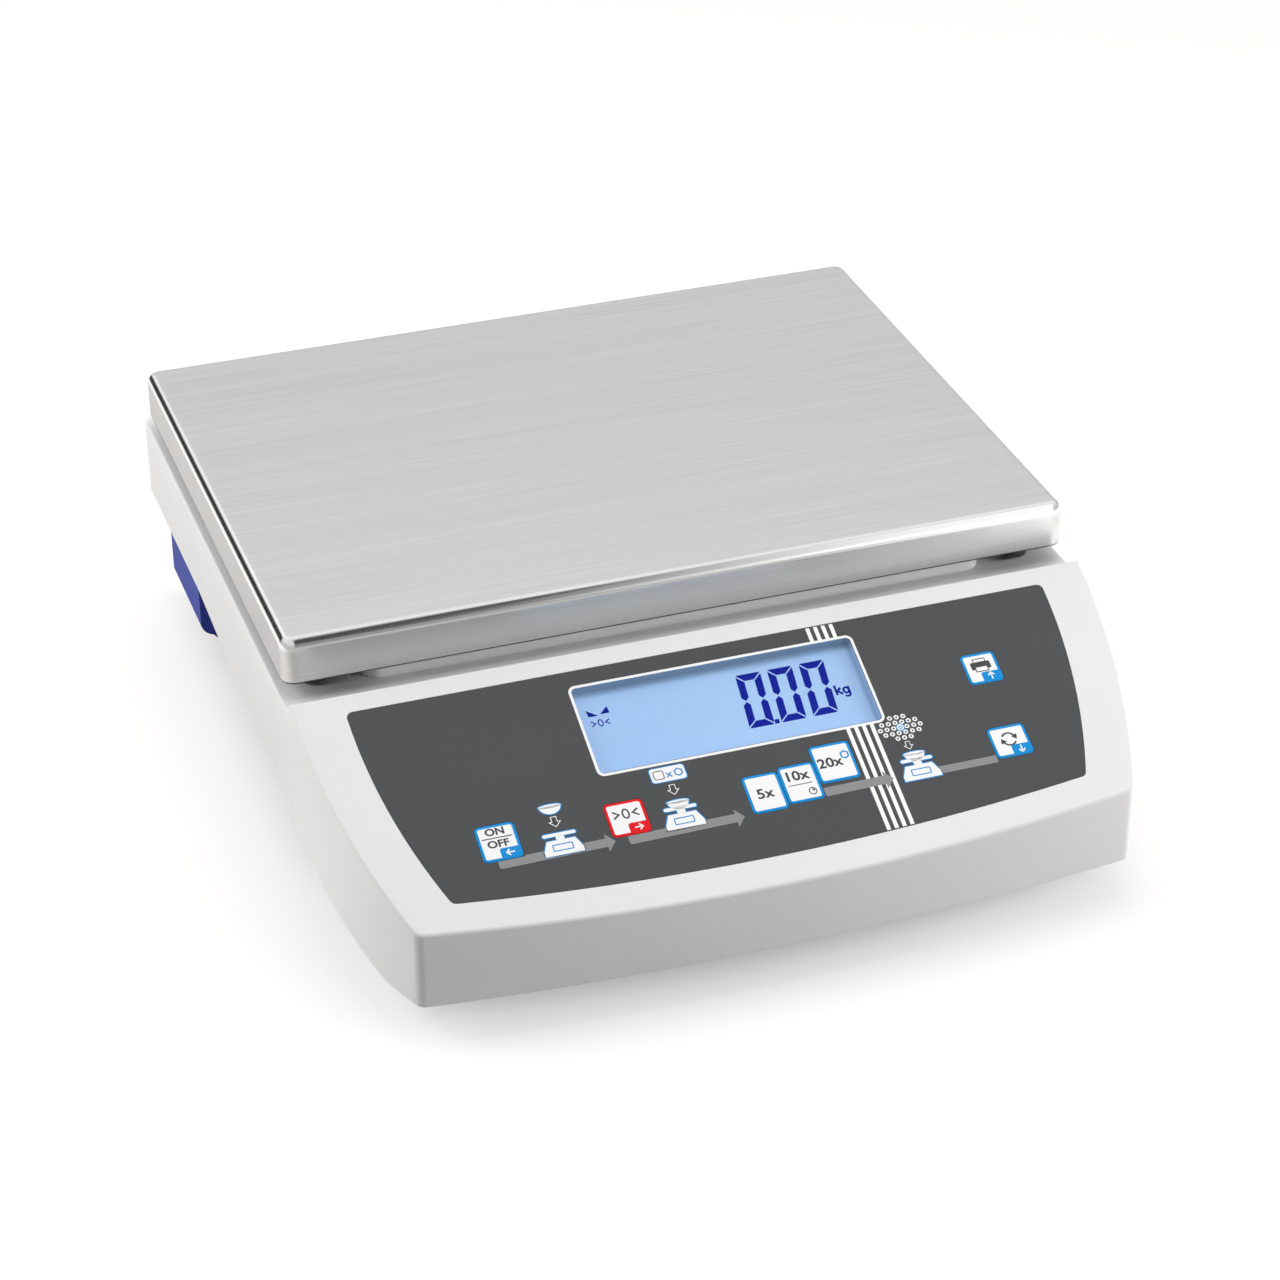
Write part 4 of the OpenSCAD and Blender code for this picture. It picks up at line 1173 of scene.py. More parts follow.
def prism(outline, low, high):
    """An upright prism between two heights."""
    return closed_solid([at_height(outline, z) for z in (low, high)])


def disc(x, y, radius, steps=32):
    """A circle, counter-clockwise."""
    return arc_points((x, y), radius, np.linspace(0, 2 * math.pi, steps, endpoint=False))


def slope_rectangle(x, s, width, height, radius):
    """A rounded rectangle on the panel. s runs down the slope, so the order is turned round."""
    return rounded_outline(width, height, radius, (x, -s), 6) * (1, -1)


FILM_TOP_S, FILM_FOOT_S, FILM_W = 8.8, 110.5, 300.6
FILM_SIDE_R, FILM_FRONT_R, FILM_CORNER = 263.4, 1136.0, 2.6


def film_outline(grow):
    """The keypad film's outline on the panel: straight top, side arcs, long arc at the foot, all
    corners rounded, moved out by grow."""
    side_c = np.array([FILM_W / 2 - FILM_SIDE_R, -FILM_TOP_S])
    foot_c = np.array([0.0, -FILM_FOOT_S + FILM_FRONT_R])
    hub, side_end, foot_start = corner_arc(side_c, FILM_SIDE_R, foot_c, FILM_FRONT_R, FILM_CORNER)
    top_y = -FILM_TOP_S - FILM_CORNER
    near = FILM_SIDE_R - FILM_CORNER
    start = math.asin((top_y - side_c[1]) / near)
    top_hub = (side_c[0] + near * math.cos(start), top_y)
    stretches = [(top_hub, FILM_CORNER, math.pi / 2, start, 9),
                 (side_c, FILM_SIDE_R, start, side_end, 40),
                 (hub, FILM_CORNER, side_end, foot_start, 9),
                 (foot_c, FILM_FRONT_R, foot_start, -math.pi / 2, 40)]
    arcs = [arc_points(centre, radius + grow, np.linspace(first, last, count))
            for centre, radius, first, last, count in stretches]
    right = np.concatenate([arcs[0], *(arc[1:] for arc in arcs[1:])])
    left = (right * (-1, 1))[::-1][1:]
    return np.concatenate([right, left])[::-1] * (1, -1)


print("film outline points:", len(film_outline(0.0)))

# %% [markdown]
# The order matters here. The groove round the block's foot is cut first. Then the block and the
# trough liners are added, and the room inside the block is cut. The bosses come after that, or the
# room would cut their tops away, and the openings come last. Nearly all of these shapes are plain
# prisms, upright or at right angles to the panel.

# %% Build the housing
BLOCK_W, BLOCK_FRONT, BLOCK_BACK, BLOCK_Z, BLOCK_R = 271.0, -61.5, 179.5, 103.5, 8.0
BLOCK_EDGE = 1.6
TROUGH_X, TROUGH_W, TROUGH_D, TROUGH_R, TROUGH_DEPTH = 149.0, 20.0, 236.0, 6, 6.0
SCREW_PLACES = [(-130, -128), (130, -128), (-130, 40), (130, 40), (-28, 176), (28, 176)]
BOARD_CORNERS = [(x, s) for x in (-72, 72) for s in (13, 67)]
RECESS = 1.5
BOSS_R, BOSS_HOLE_R, STUB_R, STUB_HOLE_R = 4.5, 1.7, 3.2, 1.2
CARRIER_HOLE = (42, 42, 6, (0, 8.5))
LEVEL_HOLE = (0, 160, 10.1, 64)
DISPLAY_HOLE, LEAD_SLOT = (0, 37.6, 122.4, 42.8, 2.5), (58, 65.4, 14, 1.2, 0.3)
BOSS_FOOT, ABOVE = 46, 110
FILM_GAP = 0.2
HOUSING_SMOOTH = 32


def block_shape():
    """The raised block: an upright wall with a rounded top edge."""
    turn = np.radians(np.linspace(0, 90, 6))
    edge = [(BLOCK_EDGE * (1 - math.cos(t)), BLOCK_Z - BLOCK_EDGE + BLOCK_EDGE * math.sin(t))
            for t in turn]
    return closed_solid([block_ring(inset, z) for inset, z in [(0, DECK_Z - 1.4), *edge]])


def block_ring(inset, z):
    """The block's outline drawn in by inset, at a height."""
    return at_height(rounded_outline(
        BLOCK_W - 2 * inset, BLOCK_BACK - BLOCK_FRONT - 2 * inset, BLOCK_R - inset,
        (0, (BLOCK_FRONT + BLOCK_BACK) / 2), 12), z)


def block_groove():
    """A narrow groove in the deck round the block's foot, which draws the thin line there."""
    return closed_band([block_ring(inset, z) for inset, z in (
        (-0.5, DECK_Z - 0.4), (-0.5, DECK_Z + 1), (1.0, DECK_Z + 1), (1.0, DECK_Z - 0.4))])


def block_hollow():
    """The room inside the block, down through the deck."""
    depth = BLOCK_BACK - BLOCK_FRONT - 2 * WALL
    return prism(rounded_outline(BLOCK_W - 2 * WALL, depth, BLOCK_R - WALL,
                                 (0, (BLOCK_FRONT + BLOCK_BACK) / 2)), DECK_Z - 8, BLOCK_Z - WALL)


def trough_shapes(grow, low, high):
    """The two long hollows beside the block, or the liners round them."""
    size = TROUGH_W + 2 * grow, TROUGH_D + 2 * grow, TROUGH_R + grow
    return [prism(rounded_outline(*size, (side * TROUGH_X, PLATE_CENTRE[1])), low, high)
            for side in (-1, 1)]


def build_housing():
    """Shell, then block and liners, then the block's room, then bosses, then every opening."""
    housing = make_piece("satin_housing", shell_shape(), ["shell_plastic"], "housing",
                         replaces=["top_housing"])
    print("edges left open:", merged(housing.data))
    carve(housing, "DIFFERENCE", block_groove())
    carve(housing, "UNION", joined([block_shape(), *trough_shapes(
        WALL, DECK_Z - TROUGH_DEPTH - WALL, DECK_Z - 1)]))
    carve(housing, "DIFFERENCE", block_hollow())
    posts = [prism(disc(x, y, BOSS_R), BOSS_FOOT, min(DECK_Z + 1.5, top_z(y) - 1))
             for x, y in SCREW_PLACES]
    stubs = [panel_prism(disc(x, s, STUB_R), -9.4, -1.8) for x, s in BOARD_CORNERS]
    carve(housing, "UNION", joined(posts + stubs))
    cuts = trough_shapes(0, DECK_Z - TROUGH_DEPTH, DECK_Z + 2)
    cuts += [prism(disc(x, y, BOSS_HOLE_R), BOSS_FOOT - 1, 70) for x, y in SCREW_PLACES]
    cuts += [prism(rounded_outline(*CARRIER_HOLE), DECK_Z, ABOVE),
             prism(disc(*LEVEL_HOLE), BLOCK_Z - 10, ABOVE),
             panel_prism(film_outline(FILM_GAP), -RECESS, 6)]
    cuts += [panel_prism(disc(x, s, STUB_HOLE_R), -10.4, -3) for x, s in BOARD_CORNERS]
    carve(housing, "DIFFERENCE", joined(cuts))
    carve(housing, "DIFFERENCE", joined([panel_prism(slope_rectangle(*hole), -8, 8)
                                         for hole in (DISPLAY_HOLE, LEAD_SLOT)]))
    shade_smooth(housing.data, HOUSING_SMOOTH)
    return housing


housing = build_housing()
print("housing faces:", len(housing.data.polygons))

# %% [markdown]
# ## Drawing the printed symbols
#
# The keypad's symbols are flat shapes. They could be one image, but then they would blur close up.
# Here each is an outline on the panel with a thickness of a few hundredths of a millimetre. Three
# helpers are enough: one grows an outline, one turns a line into a band of even width, and one
# makes a frame with a hole.

# %% Outline helpers


def outset(outline, grow):
    """Moves every side of a closed outline outwards by grow: each point moves along the mean of
    its two sides' normals, divided by the cosine of half the angle between them."""
    points = counter_clockwise(outline) * (1, -1)
    side = np.roll(points, -1, axis=0) - points
    side /= np.linalg.norm(side, axis=1)[:, None]
    normal = np.column_stack([side[:, 1], -side[:, 0]])
    middle = normal + np.roll(normal, 1, axis=0)
    middle /= np.linalg.norm(middle, axis=1)[:, None]
    reach = grow / np.clip(np.sum(middle * normal, axis=1), 0.3, 1)
    return (points + middle * reach[:, None]) * (1, -1)


def line_band(points, width):
    """An open line as a band of even width, mitred at its bends."""
    points = np.asarray(points, dtype=float)
    run = np.diff(points, axis=0)
    run /= np.linalg.norm(run, axis=1)[:, None]
    normal = np.column_stack([-run[:, 1], run[:, 0]])
    before, after = np.vstack([normal[:1], normal]), np.vstack([normal, normal[-1:]])
    middle = before + after
    middle /= np.linalg.norm(middle, axis=1)[:, None]
    reach = width / 2 / np.clip(np.sum(middle * after, axis=1), 0.3, 1)
    offset = middle * reach[:, None]
    return np.concatenate([points + offset, (points - offset)[::-1]])


def panel_frame(outer, inner, low, high):
    """A flat frame between two outlines of as many points."""
    outer, inner = counter_clockwise(outer), counter_clockwise(inner)
    rings = [on_panel(o[:, 0], o[:, 1], n) for o, n in
             ((outer, low), (outer, high), (inner, high), (inner, low))]
    return closed_band(rings)


def placed(outline, x, s, size=1.0, turn=0.0):
    """A small outline (u to the right, v up) put on the panel at (x, s), scaled and turned."""
    c, d = math.cos(math.radians(turn)), math.sin(math.radians(turn))
    turned = np.asarray(outline, dtype=float) @ np.array([[c, d], [-d, c]])
    return np.array([x, s]) + turned * size * (1, -1)


WIDE = 1.12
LAYER = 0.03


def lettering(text, x, s, size, low, high, weight):
    """Text as a closed flat mesh on the panel, centred on (x, s)."""
    curve = bpy.data.curves.new("lettering", "FONT")
    curve.body, curve.size, curve.resolution_u = text, size, 4
    curve.align_x, curve.align_y = "CENTER", "CENTER"
    curve.extrude, curve.offset = (high - low) / 2, weight
    holder = bpy.data.objects.new("lettering", curve)
    mesh = bpy.data.meshes.new_from_object(holder)
    merged(mesh)
    flat = np.empty(len(mesh.vertices) * 3)
    mesh.vertices.foreach_get("co", flat)
    flat = flat.reshape(-1, 3)
    faces = [list(face.vertices) for face in mesh.polygons]
    bpy.data.objects.remove(holder)
    bpy.data.curves.remove(curve)
    bpy.data.meshes.remove(mesh)
    return on_panel(x + WIDE * flat[:, 0], s - flat[:, 1], (low + high) / 2 + flat[:, 2]), faces


class Sheet:
    """Collects flat shapes, each with its ink, for one printed piece."""

    def __init__(self, base, inks):
        self.base, self.inks, self.parts, self.ink_of = base, list(inks), [], []

    def add(self, shape, ink):
        self.parts.append(shape)
        self.ink_of += [self.inks.index(ink)] * len(shape[1])

    def heights(self, layer):
        """From a little below the base up to a layer's top."""
        return self.base - LAYER, self.base + LAYER * layer

    def patch(self, outline, ink, layer):
        """A filled shape on the panel."""
        self.add(panel_prism(outline, *self.heights(layer)), ink)

    def frame(self, outer, inner, ink, layer):
        """A shape on the panel with a hole."""
        self.add(panel_frame(outer, inner, *self.heights(layer)), ink)

    def spot(self, shape, x, s, ink, layer, size=1.0, turn=0.0):
        """A small filled shape, put at (x, s)."""
        self.patch(placed(shape, x, s, size, turn), ink, layer)

    def ring(self, outer, inner, x, s, ink, layer, size=1.0):
        """A small shape with a hole, put at (x, s)."""
        self.frame(placed(outer, x, s, size), placed(inner, x, s, size), ink, layer)

    def outlined(self, shape, x, s, width=0.42, layer=2):
        """A small white shape with a blue line round it, put at (x, s)."""
        outline = placed(shape, x, s)
        self.patch(outset(outline, width), "ink_blue", layer)
        self.patch(outline, "ink_white", layer + 1)

    def text(self, words, x, s, size, ink, layer, weight):
        """Lettering, centred on (x, s)."""
        self.add(lettering(words, x, s, size, *self.heights(layer), weight), ink)

    def piece(self, name, body, slot=None, replaces=()):
        return make_piece(name, joined(self.parts), self.inks, body, replaces=replaces,
                          face_finish=self.ink_of, smooth=20)


FILM_TOP = -0.05
print("drawing helpers ready")

# %% [markdown]
# The signs are put together from a few simple outlines, such as an arrow, a piece of an ellipse, a
# rounded box and a hexagon. They could be letters of a symbol font, but such a font may not be on
# every machine.

# %% Small symbols
ARROW = [[(-1.5, 0), (1.5, 0)], [(0.25, 1.25), (1.5, 0), (0.25, -1.25)]]
BLOCK_ARROW = [(-1.1, 2.1), (-1.1, 0.1), (-2.3, 0.1), (0, -2.2), (2.3, 0.1), (1.1, 0.1),
               (1.1, 2.1)]


def bow(radius_x, radius_y, first, last, count=14):
    """Part of an ellipse round the origin, by angles in degrees."""
    turn = np.radians(np.linspace(first, last, count))
    return np.column_stack([radius_x * np.cos(turn), radius_y * np.sin(turn)])


def box_outline(width, height, radius=0.3, u=0.0, v=0.0):
    """A small rounded rectangle."""
    return rounded_outline(width, height, radius, (u, v), 3)


def nut(radius):
    """A hexagon."""
    return bow(radius, radius, 30, 330, 6)


def draw_zero_sign(sheet, x, s, ink, layer, size):
    """A nought between two angles that point at it: the sign for zero."""
    angle = line_band([(-4.7, 1.45), (-2.55, 0), (-4.7, -1.45)], 0.62)
    for turn in (0, 180):
        sheet.spot(angle, x, s, ink, layer, size, turn)
    sheet.ring(bow(1.45, 2.15, 0, 345, 24), bow(0.84, 1.54, 0, 345, 24), x, s, ink, layer, size)


def draw_scale(sheet, x, s, bowl):
    """A bench scale from the front, in white with blue lines: body, display, neck and pan."""
    body = [(-8, -5.4), (8, -5.4), (8, -3.2), (5.8, 1.4), (-5.8, 1.4), (-8, -3.2)]
    neck, pan = box_outline(3.4, 1.9, 0.2, 0, 2.4), box_outline(13.6, 1.5, 0.7, 0, 3.9)
    for shape in (body, neck, pan):
        sheet.outlined(shape, x, s)
    sheet.ring(box_outline(8.4, 3.2, 0.5, 0, -2.0), box_outline(7.5, 2.3, 0.2, 0, -2.0), x, s,
               "ink_blue", 4)
    if bowl:
        draw_bowl(sheet, x, s - 6.9)


def draw_bowl(sheet, x, s):
    """A bowl: an ellipse's lower half, and its rim above."""
    sheet.outlined(bow(4.4, 3.6, 180, 360), x, s)
    sheet.outlined(bow(4.7, 0.9, 0, 345, 24), x, s)


def draw_drop(sheet, x, s, size=1.15):
    """The arrow that shows where a thing goes: dark, with a light contour."""
    outline = placed(BLOCK_ARROW, x, s, size)
    sheet.patch(outline, "ink_white", 5)
    sheet.patch(outset(outline, -0.32), "ink_dark", 6)


print("symbols: arrow, scale, bowl, drop")

# %% [markdown]
# ## The print on the keypad film
#
# The film carries a white line round the display, grey arrows that lead from key to key, four white
# stripes and small pictures of a scale with a bowl. They are plain signs of the kind any bench
# scale could carry. The stripes stop at the display and pass under the arrows, as print layers do.

# %% Film print
WINDOW_W, WINDOW_H, WINDOW_S, WINDOW_R = 121.4, 41.8, 37.6, 2.5
LINE_X, LINE_S, LINE_W, LINE_H = 0.55, 37.9, 122.8, 44.0
STRIPES = [44.2 + 3.4 * i for i in range(4)]
STRIPE_W, FILM_MARGIN = 1.7, 0.4
# each arrow's start, its end, its middle line, and the right and the lower edge of its key
PATHS = [(-110.8, -63.2, 90.0, -99.6, 88.5), (-57.9, -9.6, 90.6, -47.1, 88.7),
         (25.6, 55.1, 86.8, 25.6, 86.8)]


def foot_s(x):
    """Where the film's long arc runs at x."""
    return FILM_FOOT_S - FILM_FRONT_R + np.sqrt(FILM_FRONT_R ** 2 - x ** 2)


def path_outline(first, last, s, key_right, key_low):
    """A bar that starts under a key's lower edge and ends in an arrow's head. Its upper edge steps
    round the key, so that no print lies on a part that moves."""
    start = [(first, key_low), (first, s + 1.2), (first + 0.8, s + 2.0)]
    step = [(key_right, s - 2.1), (key_right, key_low)] if key_right > first else [(first, s - 2.1)]
    return start + [(last - 3.6, s + 1.6), (last - 3.6, s + 3.9), (last, s - 0.3),
                    (last - 3.6, s - 4.4), (last - 3.6, s - 2.3), *step]


def draw_tag(sheet, x, s):
    """A small label: a box, a times sign and a nut."""
    sheet.outlined(box_outline(14.4, 6.6, 1.2), x, s)
    sheet.ring(box_outline(4.4, 4.2, 0.8, -3.9), box_outline(3.7, 3.5, 0.5, -3.9), x, s,
               "ink_dark", 4)
    sheet.text("x", x + 0.4, s + 0.2, 4.6, "ink_blue", 4, 0.06)
    sheet.ring(nut(2.0), nut(1.35), x + 4.4, s, "ink_blue", 4)


def draw_heap(sheet, x, s):
    """A heap of nuts: rows of a honeycomb, kept where they fall inside an ellipse."""
    for row in range(-2, 3):
        for column in range(-4, 5):
            u, v = (column + (row % 2) / 2) * 2.9, row * 2.5
            if (u / 9.4) ** 2 + (v / 6.0) ** 2 < 1 and max(abs(u), abs(v)) > 2.0:
                sheet.ring(nut(1.15), nut(0.5), x + u, s - v, "ink_white", 2)
    sheet.outlined(nut(1.6), x, s, 0.4, 3)
    sheet.ring(nut(0.95), nut(0.5), x, s, "ink_blue", 5)


def print_stripes(sheet, upper, lower):
    """Four stripes from the film's top to the display's line and from there to the film's foot."""
    for x in STRIPES:
        right, top = x + STRIPE_W, FILM_TOP_S + FILM_MARGIN
        sheet.patch([(x, top), (right, top), (right, upper), (x, upper)], "ink_white", 1)
        sheet.patch([(x, lower), (right, lower), (right, foot_s(right) - FILM_MARGIN),
                     (x, foot_s(x) - FILM_MARGIN)], "ink_white", 1)


def print_film():
    """All signs of the film as one thin piece."""
    sheet = Sheet(FILM_TOP, ["ink_white", "ink_grey", "ink_blue", "ink_dark"])
    line = slope_rectangle(LINE_X, LINE_S, LINE_W, LINE_H, WINDOW_R + 0.6)
    edge = slope_rectangle(LINE_X, LINE_S, LINE_W - 2.3, LINE_H - 2.3, WINDOW_R - 0.4)
    sheet.frame(line, edge, "ink_white", 1)
    print_stripes(sheet, LINE_S - LINE_H / 2, LINE_S + LINE_H / 2)
    for path in PATHS:
        sheet.patch(path_outline(*path), "ink_grey", 2)
    sheet.patch(slope_rectangle(87.0, 87.1, 26.4, 3.4, 0.1), "ink_grey", 2)
    draw_scale(sheet, -84.0, 85.6, False)
    draw_bowl(sheet, -84.0, 68.6)
    draw_drop(sheet, -84.0, 75.9)
    draw_scale(sheet, -33.6, 84.6, True)
    draw_tag(sheet, -33.4, 64.4)
    draw_drop(sheet, -33.6, 72.0)
    draw_scale(sheet, 67.4, 84.0, True)
    draw_heap(sheet, 66.4, 64.0)
    draw_drop(sheet, 66.6, 73.0, 0.95)
    sheet.piece("keypad_print", "housing")


print_film()
print("on the film:", len(PATHS), "arrows and", len(STRIPES), "stripes")

# %% [markdown]
# ## The keys
#
# Each key is a small tile in the film: a coloured border, a white face, a label, and in four of
# them a coloured tab with an arrow. They move 0.3 mm, so each is a piece of its own that rides on
# its own body. Labels are plain numbers, ON and OFF, and common signs for the rest.

# %% Keys
# key: x, s, width, height, ink of the border
KEYS = {"on_off": (-108, 80, 16.2, 16.4, "ink_blue"),
        "tare": (-55.5, 80.6, 16.2, 15.6, "ink_red"),
        "count_5": (2, 81.6, 15.2, 17.6, "ink_blue"),
        "count_10": (17.6, 80.3, 15.4, 17.6, "ink_blue"),
        "count_20": (34.2, 73.9, 17.2, 17.8, "ink_blue"),
        "print": (110, 43.7, 15, 14.8, "ink_blue"),
        "unit": (108.6, 80.1, 16.2, 14.8, "ink_blue")}
TABS = {"on_off": 180, "tare": 0, "print": 90, "unit": 270}
KEY_R, KEY_BORDER = 2.0, 1.15


def key_tile(x, s, width, height):
    """The key's body: its nub, an upright side and a slightly rounded top edge."""
    rings = []
    for inset, n in ((0, -0.5), (0, -0.12), (0.05, -0.07), (0.12, -0.05)):
        ring = counter_clockwise(slope_rectangle(x, s, width - 2 * inset, height - 2 * inset,
                                                 KEY_R - inset))
        rings.append(on_panel(ring[:, 0], ring[:, 1], n))
    return joined([closed_solid(rings), panel_prism(disc(x, s, 3.0), -0.56, -0.49)])


def draw_tab(sheet, x, s, width, height, ink, turn):
    """The coloured tab in the lower right corner, with a white arrow."""
    right, low = x + width / 2 - 0.5, s + height / 2 - 0.5
    sheet.patch(slope_rectangle(right - 4.1, low - 2.4, 8.2, 4.8, 1.0), ink, 2)
    for line in ARROW:
        sheet.spot(line_band(line, 0.55), right - 4.2, low - 2.5, "key_white", 3, 1.1, turn)


def label_on_off(sheet, x, s):
    """Two words with a line between them."""
    sheet.text("ON", x - 0.3, s - 4.9, 4.5, "ink_dark", 2, 0.13)
    sheet.spot(line_band([(-6.2, 0), (6.2, 0)], 0.45), x, s - 2.2, "ink_dark", 2)
    sheet.text("OFF", x - 0.3, s + 0.7, 4.5, "ink_dark", 2, 0.13)


def label_tare(sheet, x, s):
    """The sign for zero."""
    draw_zero_sign(sheet, x, s - 2.1, "ink_dark", 2, 1.12)


def label_print(sheet, x, s):
    """A printer: its case, the paper above and the strip that comes out."""
    s = s - 1.3
    sheet.spot(box_outline(8.6, 3.6, 0.6), x, s, "ink_dark", 2)
    sheet.spot(box_outline(5.6, 1.9, 0.2, 0, 2.6), x, s, "ink_dark", 2)
    sheet.spot(box_outline(4.8, 1.2, 0.1, 0, 2.5), x, s, "key_white", 3)
    strip = box_outline(5.6, 2.6, 0.2, 0, -1.7)
    sheet.spot(strip, x, s, "key_white", 3)
    sheet.ring(strip, box_outline(4.9, 1.9, 0.1, 0, -1.7), x, s, "ink_dark", 4)


def label_unit(sheet, x, s):
    """Two half circles that chase each other: the sign for a change."""
    tail = np.concatenate([bow(3.3, 3.3, 0, 128, 12), bow(2.55, 2.55, 128, 0, 12)])
    head = [(1.5, 0.5), (4.35, 0.5), (2.95, -1.7)]
    for turn in (20, 200):
        for shape in (tail, head):
            sheet.spot(shape, x - 0.2, s - 0.9, "ink_dark", 2, 1.0, turn)


def count_text(sheet, text, x, s):
    """A number with its times sign."""
    sheet.text(text, x, s, 6.2, "ink_dark", 2, 0.14)


def label_count_5(sheet, x, s):
    """The number alone."""
    count_text(sheet, "5x", x - 0.2, s + 0.4)


def label_count_10(sheet, x, s):
    """The number over a line, and a clock face with its first quarter filled."""
    count_text(sheet, "10x", x - 0.9, s - 3.4)
    sheet.spot(line_band([(-5.4, 0), (4.6, 0)], 0.35), x, s + 0.6, "ink_dark", 2)
    x, s = x + 3.6, s + 4.6
    sheet.ring(bow(1.75, 1.75, 0, 340, 18), bow(1.35, 1.35, 0, 340, 18), x, s, "ink_dark", 2)
    sheet.spot([(0, 0), *bow(1.1, 1.1, 0, 90, 6)], x, s, "ink_dark", 2)


def label_count_20(sheet, x, s):
    """The number and a nut."""
    count_text(sheet, "20x", x - 1.9, s)
    sheet.ring(nut(2.1), nut(1.35), x + 5.2, s - 2.6, "ink_blue", 2)


LABELS = {"on_off": label_on_off, "tare": label_tare, "print": label_print, "unit": label_unit,
          "count_5": label_count_5, "count_10": label_count_10, "count_20": label_count_20}


def make_key(key, x, s, width, height, ink):
    """One key: tile in the border's ink, white face, tab and label."""
    inks = ["key_white", "ink_dark", "ink_blue"] + ([ink] if ink != "ink_blue" else [])
    sheet = Sheet(FILM_TOP, inks)
    sheet.add(key_tile(x, s, width, height), ink)
    face_w, face_h = width - 2 * KEY_BORDER, height - 2 * KEY_BORDER
    sheet.patch(slope_rectangle(x, s, face_w, face_h, KEY_R - KEY_BORDER), "key_white", 1)
    if key in TABS:
        draw_tab(sheet, x, s, width, height, ink, TABS[key])
    LABELS[key](sheet, x, s)
    return sheet.piece(f"tile_{key}", f"key_{key}", slot="key_white", replaces=[f"key_{key}"])


tiles = [make_key(key, *place) for key, place in KEYS.items()]
print(len(tiles), "keys")

# %% [markdown]
# ## The display's figures
#
# The figures have seven segments, of which six make a nought. Each segment is a flat shape with
# mitred ends, and the whole figure leans a little. They lie on the display glass, under the window.

# %% Display figures
GLASS_N = -4.0
FIGURE_W, FIGURE_H, FIGURE_T, FIGURE_LEAN = 10.8, 25.9, 3.2, 0.085
FIGURE_S, FIGURES_X, DOT_X = 48.8, (7.3, 21.1, 34.9), 18.3


def segments_of_nought():
    """Six segments in a box FIGURE_W by FIGURE_H, from its lower left corner."""
    w, h, t, g = FIGURE_W, FIGURE_H, FIGURE_T, 0.22
    top = [(g + 0.5, h), (w - g - 0.5, h), (w - g - 0.1, h - 0.3), (w - t - g, h - t),
           (t + g, h - t), (g + 0.1, h - 0.3)]
    left = [(0, h - 0.7), (0.2, h - 0.75 - g), (t, h - t - 0.3 - g), (t, h / 2 + t / 2 + g),
            (t / 2 + 0.2, h / 2 + g), (0.1, h / 2 + t / 2 + g)]
    shapes = [np.array(top), np.array(left), np.array(left) * (-1, 1) + (w, 0)]
    return shapes + [shape * (1, -1) + (0, h) for shape in shapes]


def leaning(outline, x):
    """An outline of the figures, leaning, with its lower left corner at x."""
    u, v = np.asarray(outline, dtype=float).T
    return np.column_stack([x + u + FIGURE_LEAN * v, FIGURE_S - v])


def draw_unit(sheet, x, s):
    """The letters kg in plain even strokes, from their baseline's left end: stem and two arms, then
    a bowl, a stem and a hook below."""
    for line in ([(0.5, 0), (0.5, 4.8)], [(0.7, 1.3), (2.6, 3.3)], [(1.3, 1.8), (2.9, 0)]):
        sheet.spot(line_band(line, 1.0), x, s, "lcd_ink", 1)
    sheet.ring(bow(1.6, 1.8, 0, 340, 18) + (4.8, 1.65), bow(0.65, 0.85, 0, 340, 18) + (4.8, 1.65),
               x, s, "lcd_ink", 1)
    sheet.spot(line_band([(6.0, 3.4), (6.0, -0.4)], 0.95), x, s, "lcd_ink", 1)
    sheet.spot(line_band(bow(1.2, 0.95, 0, -150, 8) + (4.8, -0.35), 0.9), x, s, "lcd_ink", 1)


def make_reveal():
    """The walls of the opening between window and glass. They take the display's glowing finish:
    the light that the display throws on them is painted on as glow, with the rim's shade.
    """
    outer = slope_rectangle(0, WINDOW_S, WINDOW_W + 0.8, WINDOW_H + 0.8, WINDOW_R)
    inner = slope_rectangle(0, WINDOW_S, WINDOW_W + 0.1, WINDOW_H + 0.1, WINDOW_R)
    make_piece("display_reveal", panel_frame(outer, inner, GLASS_N + 0.02, -0.6), ["lcd_panel"],
               "housing")


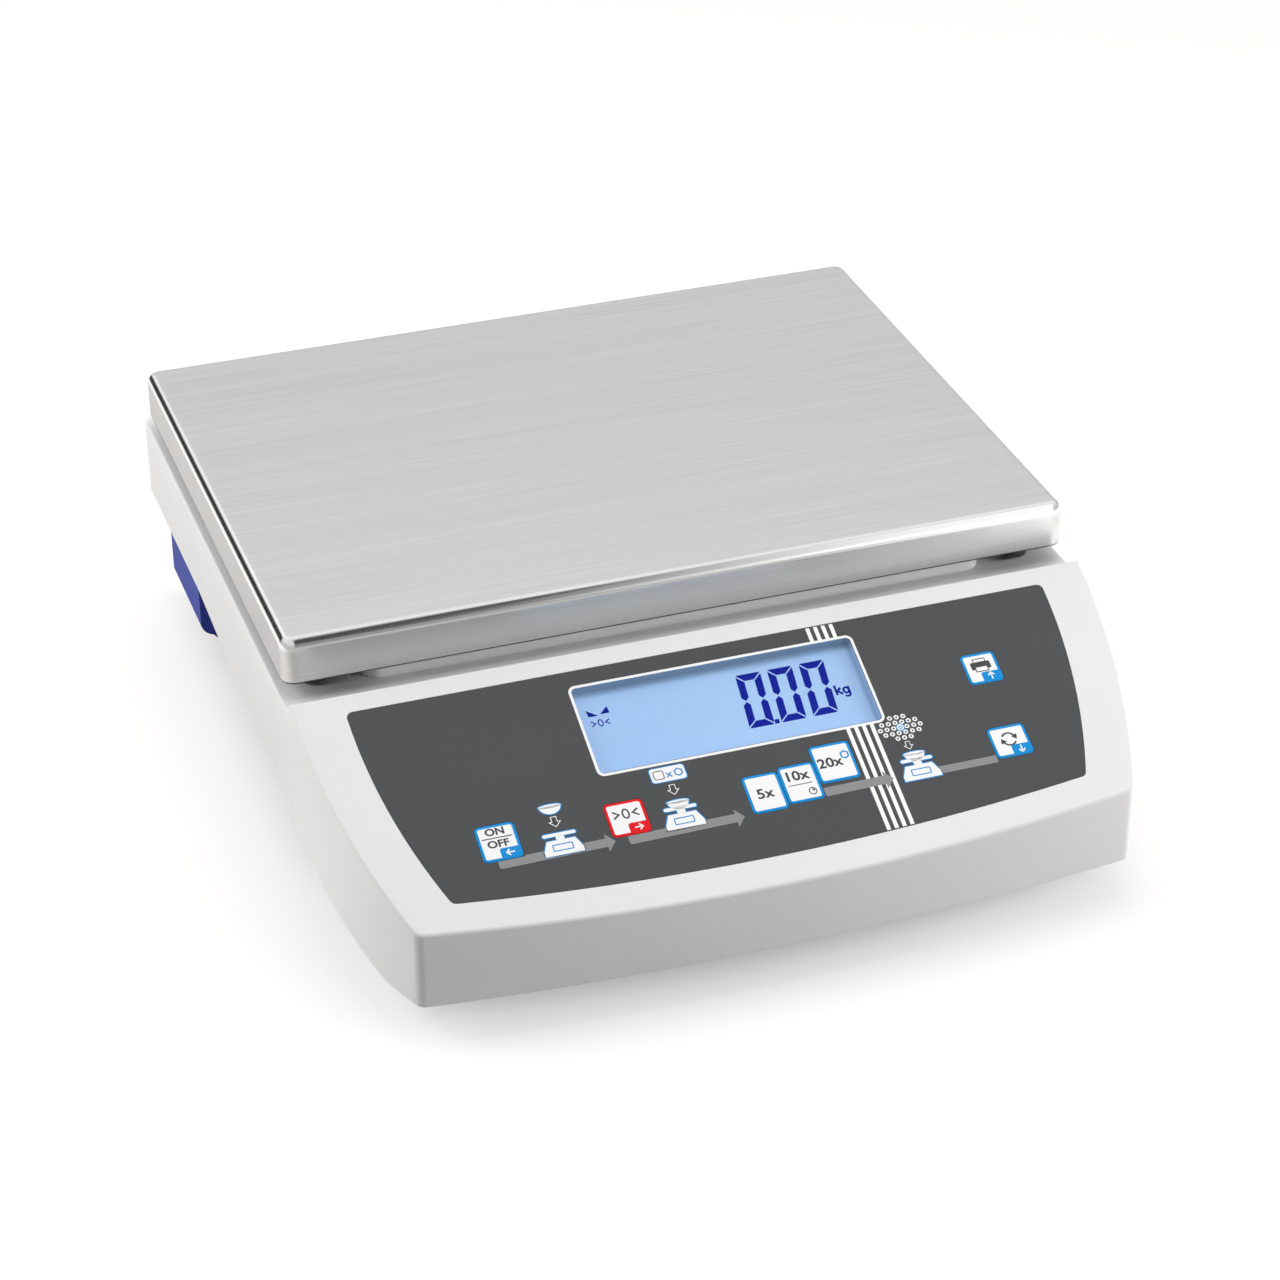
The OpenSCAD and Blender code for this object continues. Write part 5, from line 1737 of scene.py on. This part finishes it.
def print_display():
    """Figures, the dot, the unit, and the two small marks for level and zero."""
    sheet = Sheet(GLASS_N, ["lcd_ink"])
    outlines = [leaning(segment, x) for x in FIGURES_X for segment in segments_of_nought()]
    for outline in [*outlines, leaning([(0, 0), (2.0, 0), (2.0, 2.1), (0, 2.1)], DOT_X)]:
        sheet.patch(outline, "lcd_ink", 1)
    draw_unit(sheet, 47.6, 41.0)
    sheet.patch([(-55.5, 26.0), (-51.1, 29.3), (-55.1, 29.2)], "lcd_ink", 1)
    sheet.patch([(-46.5, 25.6), (-46.1, 28.8), (-50.1, 28.8)], "lcd_ink", 1)
    draw_zero_sign(sheet, -51.1, 32.8, "lcd_ink", 1, 0.82)
    sheet.piece("display_figures", "housing")


print_display()
make_reveal()
print("figures on the display:", len(FIGURES_X))

# %% [markdown]
# ## Finishes for the CAD model's own parts
#
# Every part that keeps its CAD mesh takes the finish that its record names. Its mesh isn't touched.
# A moulded or machined edge is never perfectly sharp, so a Weld and a small Bevel modifier break
# the edges of the larger parts. The bevel is far smaller than any gap, so nothing changes size.

# %% Finishes on CAD parts
CORNER_JOIN = 0.00001
EDGE_BREAK = {"base_tray": 1.4, "pan_carrier": 1.0, "battery": 1.0, "battery_cover": 0.5,
              "base_plate": 0.3, "load_cell": 0.4, "power_jack": 0.3, "data_port": 0.3}


def break_edges(thing, width):
    """Joins the loose triangles, then rounds edges sharper than 30 degrees."""
    weld = thing.modifiers.new("joined_corners", "WELD")
    weld.merge_threshold = CORNER_JOIN
    bevel = thing.modifiers.new("broken_edges", "BEVEL")
    bevel.width, bevel.segments = width * MM, 3
    bevel.limit_method, bevel.angle_limit = "ANGLE", math.radians(30)
    bevel.miter_outer = "MITER_ARC"
    bevel.harden_normals = True


def dress_nodes():
    """One material for each CAD node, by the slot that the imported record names."""
    for part in frame["record"]["subparts"]:
        name = part["node"]
        thing = frame["nodes"][name]
        thing.data.materials.clear()
        thing.data.materials.append(FINISHES[part["material_slot"]])
        if name in EDGE_BREAK:
            break_edges(thing, EDGE_BREAK[name])
    return len(frame["record"]["subparts"])


print("dressed CAD nodes:", dress_nodes())
